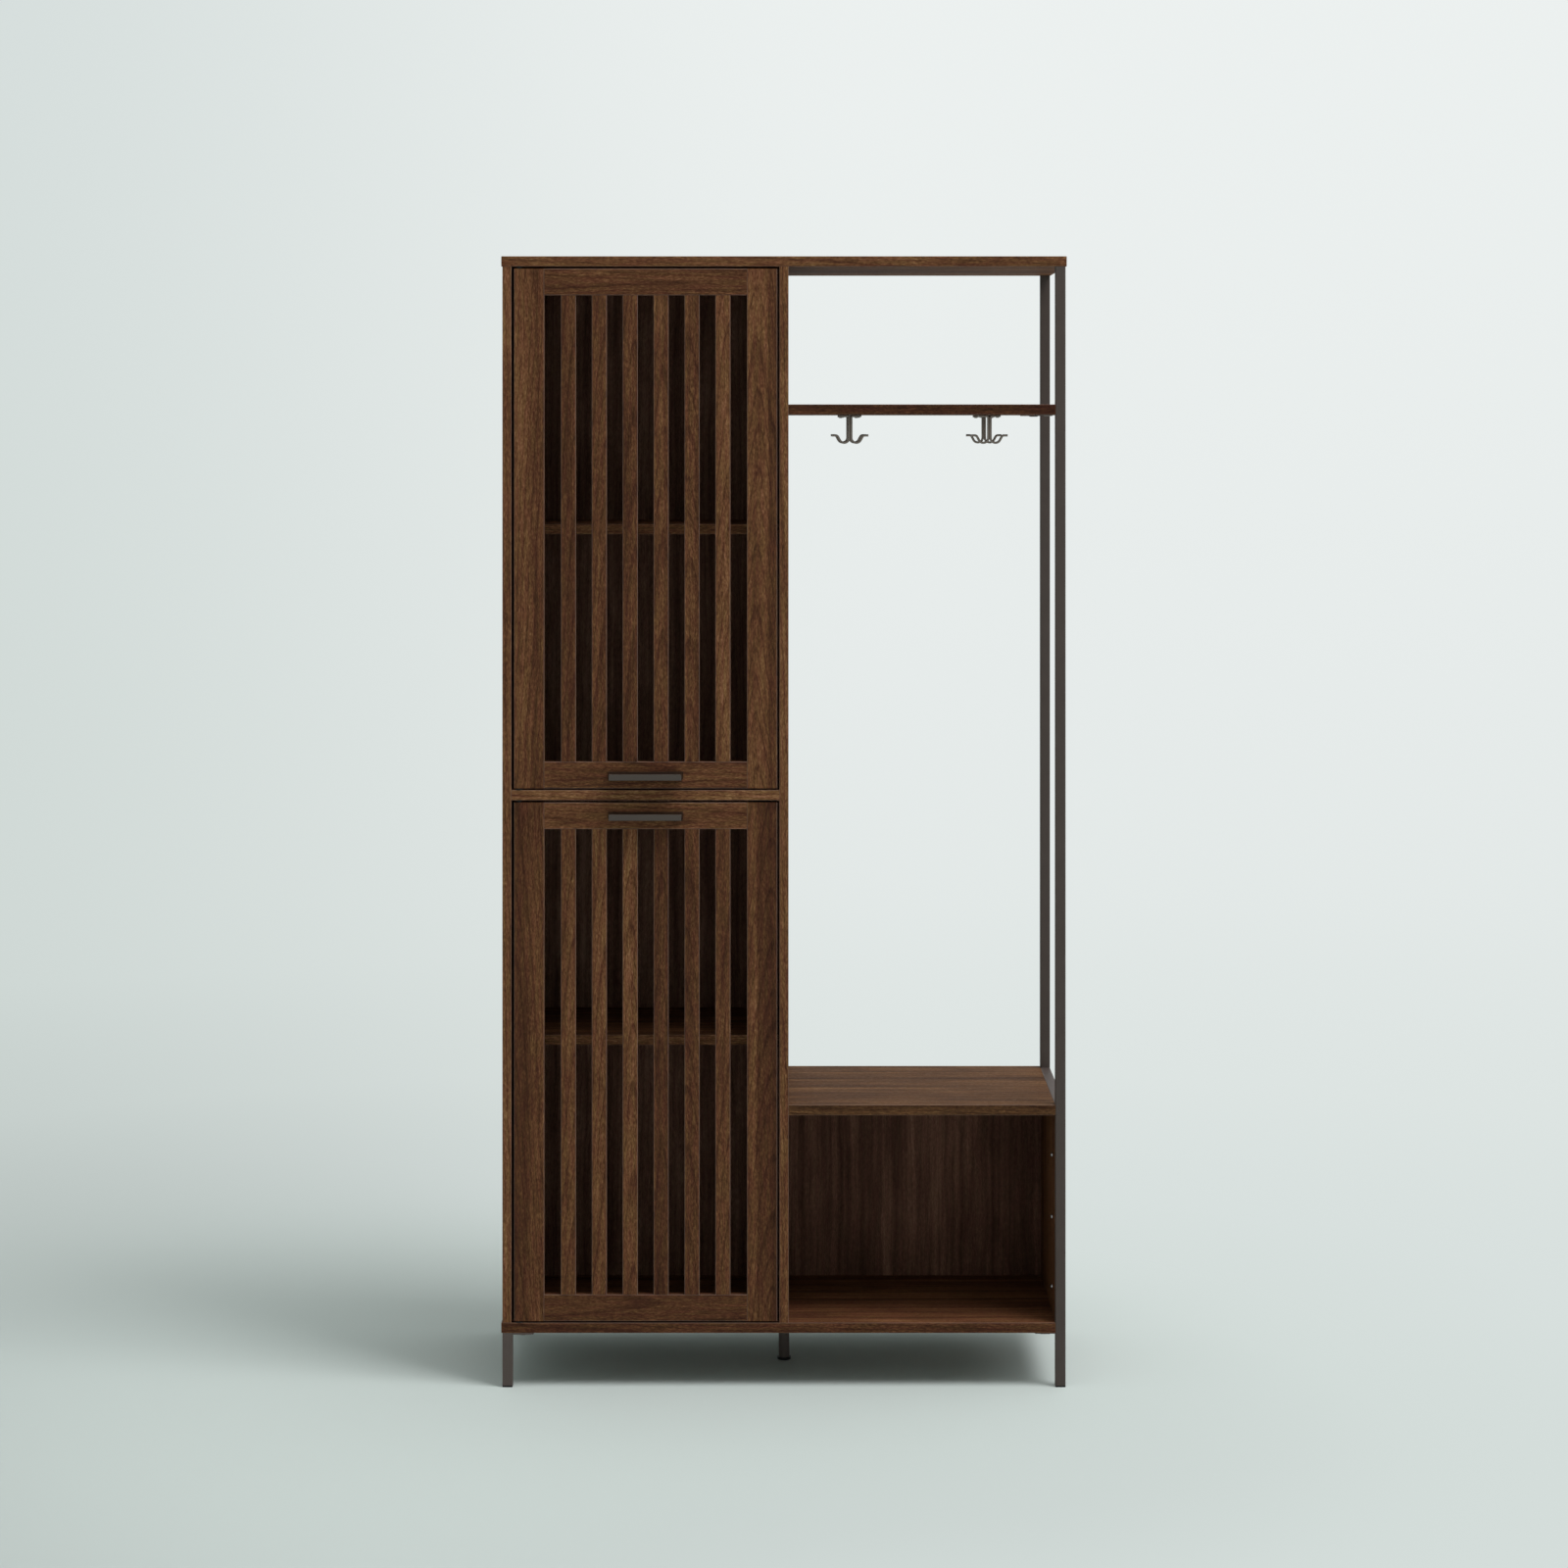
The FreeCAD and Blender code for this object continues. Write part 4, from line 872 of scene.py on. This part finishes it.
# %% The studio sweep
floor_radius, cove_radius, wall_top = 6.5, 3.0, 9.0
paper_colour, paper_roughness, paper_gloss = "#C8D0CD", 0.9, 0.1
glow_climb = 16.0
glow_reach = 5.5
glow_fold = 1.5
# Painted light: the glow's left and right share, its dimming towards the front, and its nearer start on the
# right, where it paints over the object's soft shade.
left_share, right_share = -0.26, 0.04
front_y, back_y, painted_front_dimming = -1.2, 0.3, -0.04
left_begin, left_end = 0.9, 2.4
right_begin, right_end = 0.3, 1.1
# Painted light: these ramps paint the studio's light falloff, and the left ramp's low dark stop paints the
# tail of the object's shadow.
left_painted_light_colours = ((0.06, "#A7B0AD"), (0.19, "#C4CDCA"), (0.32, "#CDD6D3"), (0.56, "#D0D9D6"),
                     (0.94, "#D7DFDE"))
right_painted_light_colours = ((0.01, "#C5CECB"), (0.03, "#CCD5D2"), (0.05, "#D3DCD9"), (0.1, "#D8E0DE"),
                      (0.19, "#DDE4E2"), (0.56, "#E6EBEA"), (0.94, "#EFF3F2"))


def studio_sweep(steps=64, cove_steps=12):
    """A round floor that curves up into a wall, as one mesh."""
    profile = [(0.0, 0.0), (floor_radius / 2, 0.0), (floor_radius, 0.0)]
    for n in range(1, cove_steps + 1):
        angle = math.radians(90) * n / cove_steps
        profile.append((floor_radius + cove_radius * math.sin(angle), cove_radius * (1 - math.cos(angle))))
    profile.append((floor_radius + cove_radius, wall_top))
    shell = bmesh.new()
    points = [shell.verts.new((radius, 0, height)) for radius, height in profile]
    edges = [shell.edges.new(pair) for pair in zip(points, points[1:])]
    bmesh.ops.spin(shell, geom=points + edges, cent=(0, 0, 0), axis=(0, 0, 1), angle=math.radians(360),
                   steps=steps)
    bmesh.ops.remove_doubles(shell, verts=shell.verts, dist=1 * mm)
    for face in shell.faces:
        face.smooth = True
    mesh = bpy.data.meshes.new("studio_sweep")
    shell.to_mesh(mesh)
    shell.free()
    sweep = bpy.data.objects.new("studio_sweep", mesh)
    bpy.context.scene.collection.objects.link(sweep)
    return sweep


def sweep_paper():
    """Matt pale paper that shows camera and mirror rays a glow of painted light away from the object."""
    maths = "ShaderNodeMath"
    material = bpy.data.materials.new("studio_paper_with_painted_glow")
    material.use_nodes = True
    tree = material.node_tree
    shader = tree.nodes["Principled BSDF"]
    shader.inputs["Base Color"].default_value = linear(paper_colour)
    shader.inputs["Roughness"].default_value = paper_roughness
    shader.inputs["Specular IOR Level"].default_value = paper_gloss
    place = add(tree, "ShaderNodeTexCoord").outputs["Object"]
    level = add(tree, "ShaderNodeVectorMath", {0: place, 1: (1, 1, 0)}, operation="MULTIPLY")
    distance = add(tree, "ShaderNodeVectorMath", {0: level}, operation="LENGTH").outputs["Value"]
    parts = add(tree, "ShaderNodeSeparateXYZ", {0: place}).outputs
    away = add(tree, maths, {0: distance, 1: parts["Z"]}, operation="ADD")
    climb = add(tree, maths, {0: away, 1: glow_climb}, operation="DIVIDE")
    ahead = add(tree, maths, {0: parts["Y"], 1: glow_fold}, operation="ADD")
    ahead = add(tree, maths, {0: ahead}, operation="ABSOLUTE")
    ahead = add(tree, maths, {0: ahead, 1: glow_reach}, operation="ADD")
    aside = add(tree, maths, {0: parts["X"], 1: ahead}, operation="DIVIDE")
    right = add(tree, "ShaderNodeMapRange", {"Value": aside, "From Min": left_share, "From Max": right_share},
                interpolation_type="SMOOTHSTEP")
    left_glow = add(tree, "ShaderNodeValToRGB", {"Fac": climb}, left_painted_light_colours)
    front_dimming = add(tree, "ShaderNodeMapRange", {"Value": parts["Y"], "From Min": front_y, "From Max": back_y,
                                              "To Min": painted_front_dimming, "To Max": 0.0})
    right_climb = add(tree, maths, {0: climb, 1: front_dimming}, operation="ADD")
    right_glow = add(tree, "ShaderNodeValToRGB", {"Fac": right_climb}, right_painted_light_colours)
    glow = add(tree, "ShaderNodeMix", {0: right, 6: left_glow, 7: right_glow}, data_type="RGBA")
    light = add(tree, "ShaderNodeEmission", {"Color": glow})
    rays = add(tree, "ShaderNodeLightPath").outputs
    seen = add(tree, maths, {0: rays["Is Camera Ray"], 1: rays["Is Glossy Ray"]}, operation="MAXIMUM")
    nearness = add(tree, maths, {0: right, 1: right}, operation="MULTIPLY")
    begin = add(tree, maths, {0: nearness, 1: right_begin - left_begin, 2: left_begin},
                operation="MULTIPLY_ADD")
    end = add(tree, maths, {0: nearness, 1: right_end - left_end, 2: left_end}, operation="MULTIPLY_ADD")
    far = add(tree, "ShaderNodeMapRange", {"Value": distance, "From Min": begin, "From Max": end},
              interpolation_type="SMOOTHSTEP")
    share = add(tree, maths, {0: seen, 1: far}, operation="MULTIPLY")
    mixed = add(tree, "ShaderNodeMixShader", {0: share, 1: shader, 2: light})
    tree.links.new(mixed.outputs[0], tree.nodes["Material Output"].inputs["Surface"])
    return material


sweep = studio_sweep()
sweep.data.materials.append(sweep_paper())
print("sweep faces", len(sweep.data.polygons))

# %% [markdown]
# The light in the photograph is a big soft source high up on the right, another one overhead and an
# even fill. It leaves a soft short shadow on the left and a dark one under the bottom panel.


# %% Lamps and world
key_place, key_target, key_size, key_power = (4.0, -2.6, 8.2), (0, 0, 0.7), 3.6, 470.0
top_place, top_target, top_size, top_power = (0.8, -0.6, 7.2), (0, 0, 0), 5.0, 178.0
fill_colour, fill_strength = "#EEF3F2", 0.474


def soft_box(name, place, target, size, power):
    """A square area lamp that looks at a target."""
    lamp = bpy.data.lights.new(name, "AREA")
    lamp.shape = "SQUARE"
    lamp.size = size
    lamp.energy = power
    holder = bpy.data.objects.new(name, lamp)
    holder.location = place
    holder.rotation_mode = "QUATERNION"
    holder.rotation_quaternion = (Vector(target) - Vector(place)).to_track_quat("-Z", "Y")
    bpy.context.scene.collection.objects.link(holder)
    return holder


soft_box("key_soft_box", key_place, key_target, key_size, key_power)
soft_box("top_soft_box", top_place, top_target, top_size, top_power)

world = bpy.data.worlds.new("studio_world")
world.use_nodes = True
fill = world.node_tree.nodes["Background"]
fill.inputs["Color"].default_value = linear(fill_colour)
fill.inputs["Strength"].default_value = fill_strength
bpy.context.scene.world = world
bpy.context.scene.view_settings.view_transform = "Standard"
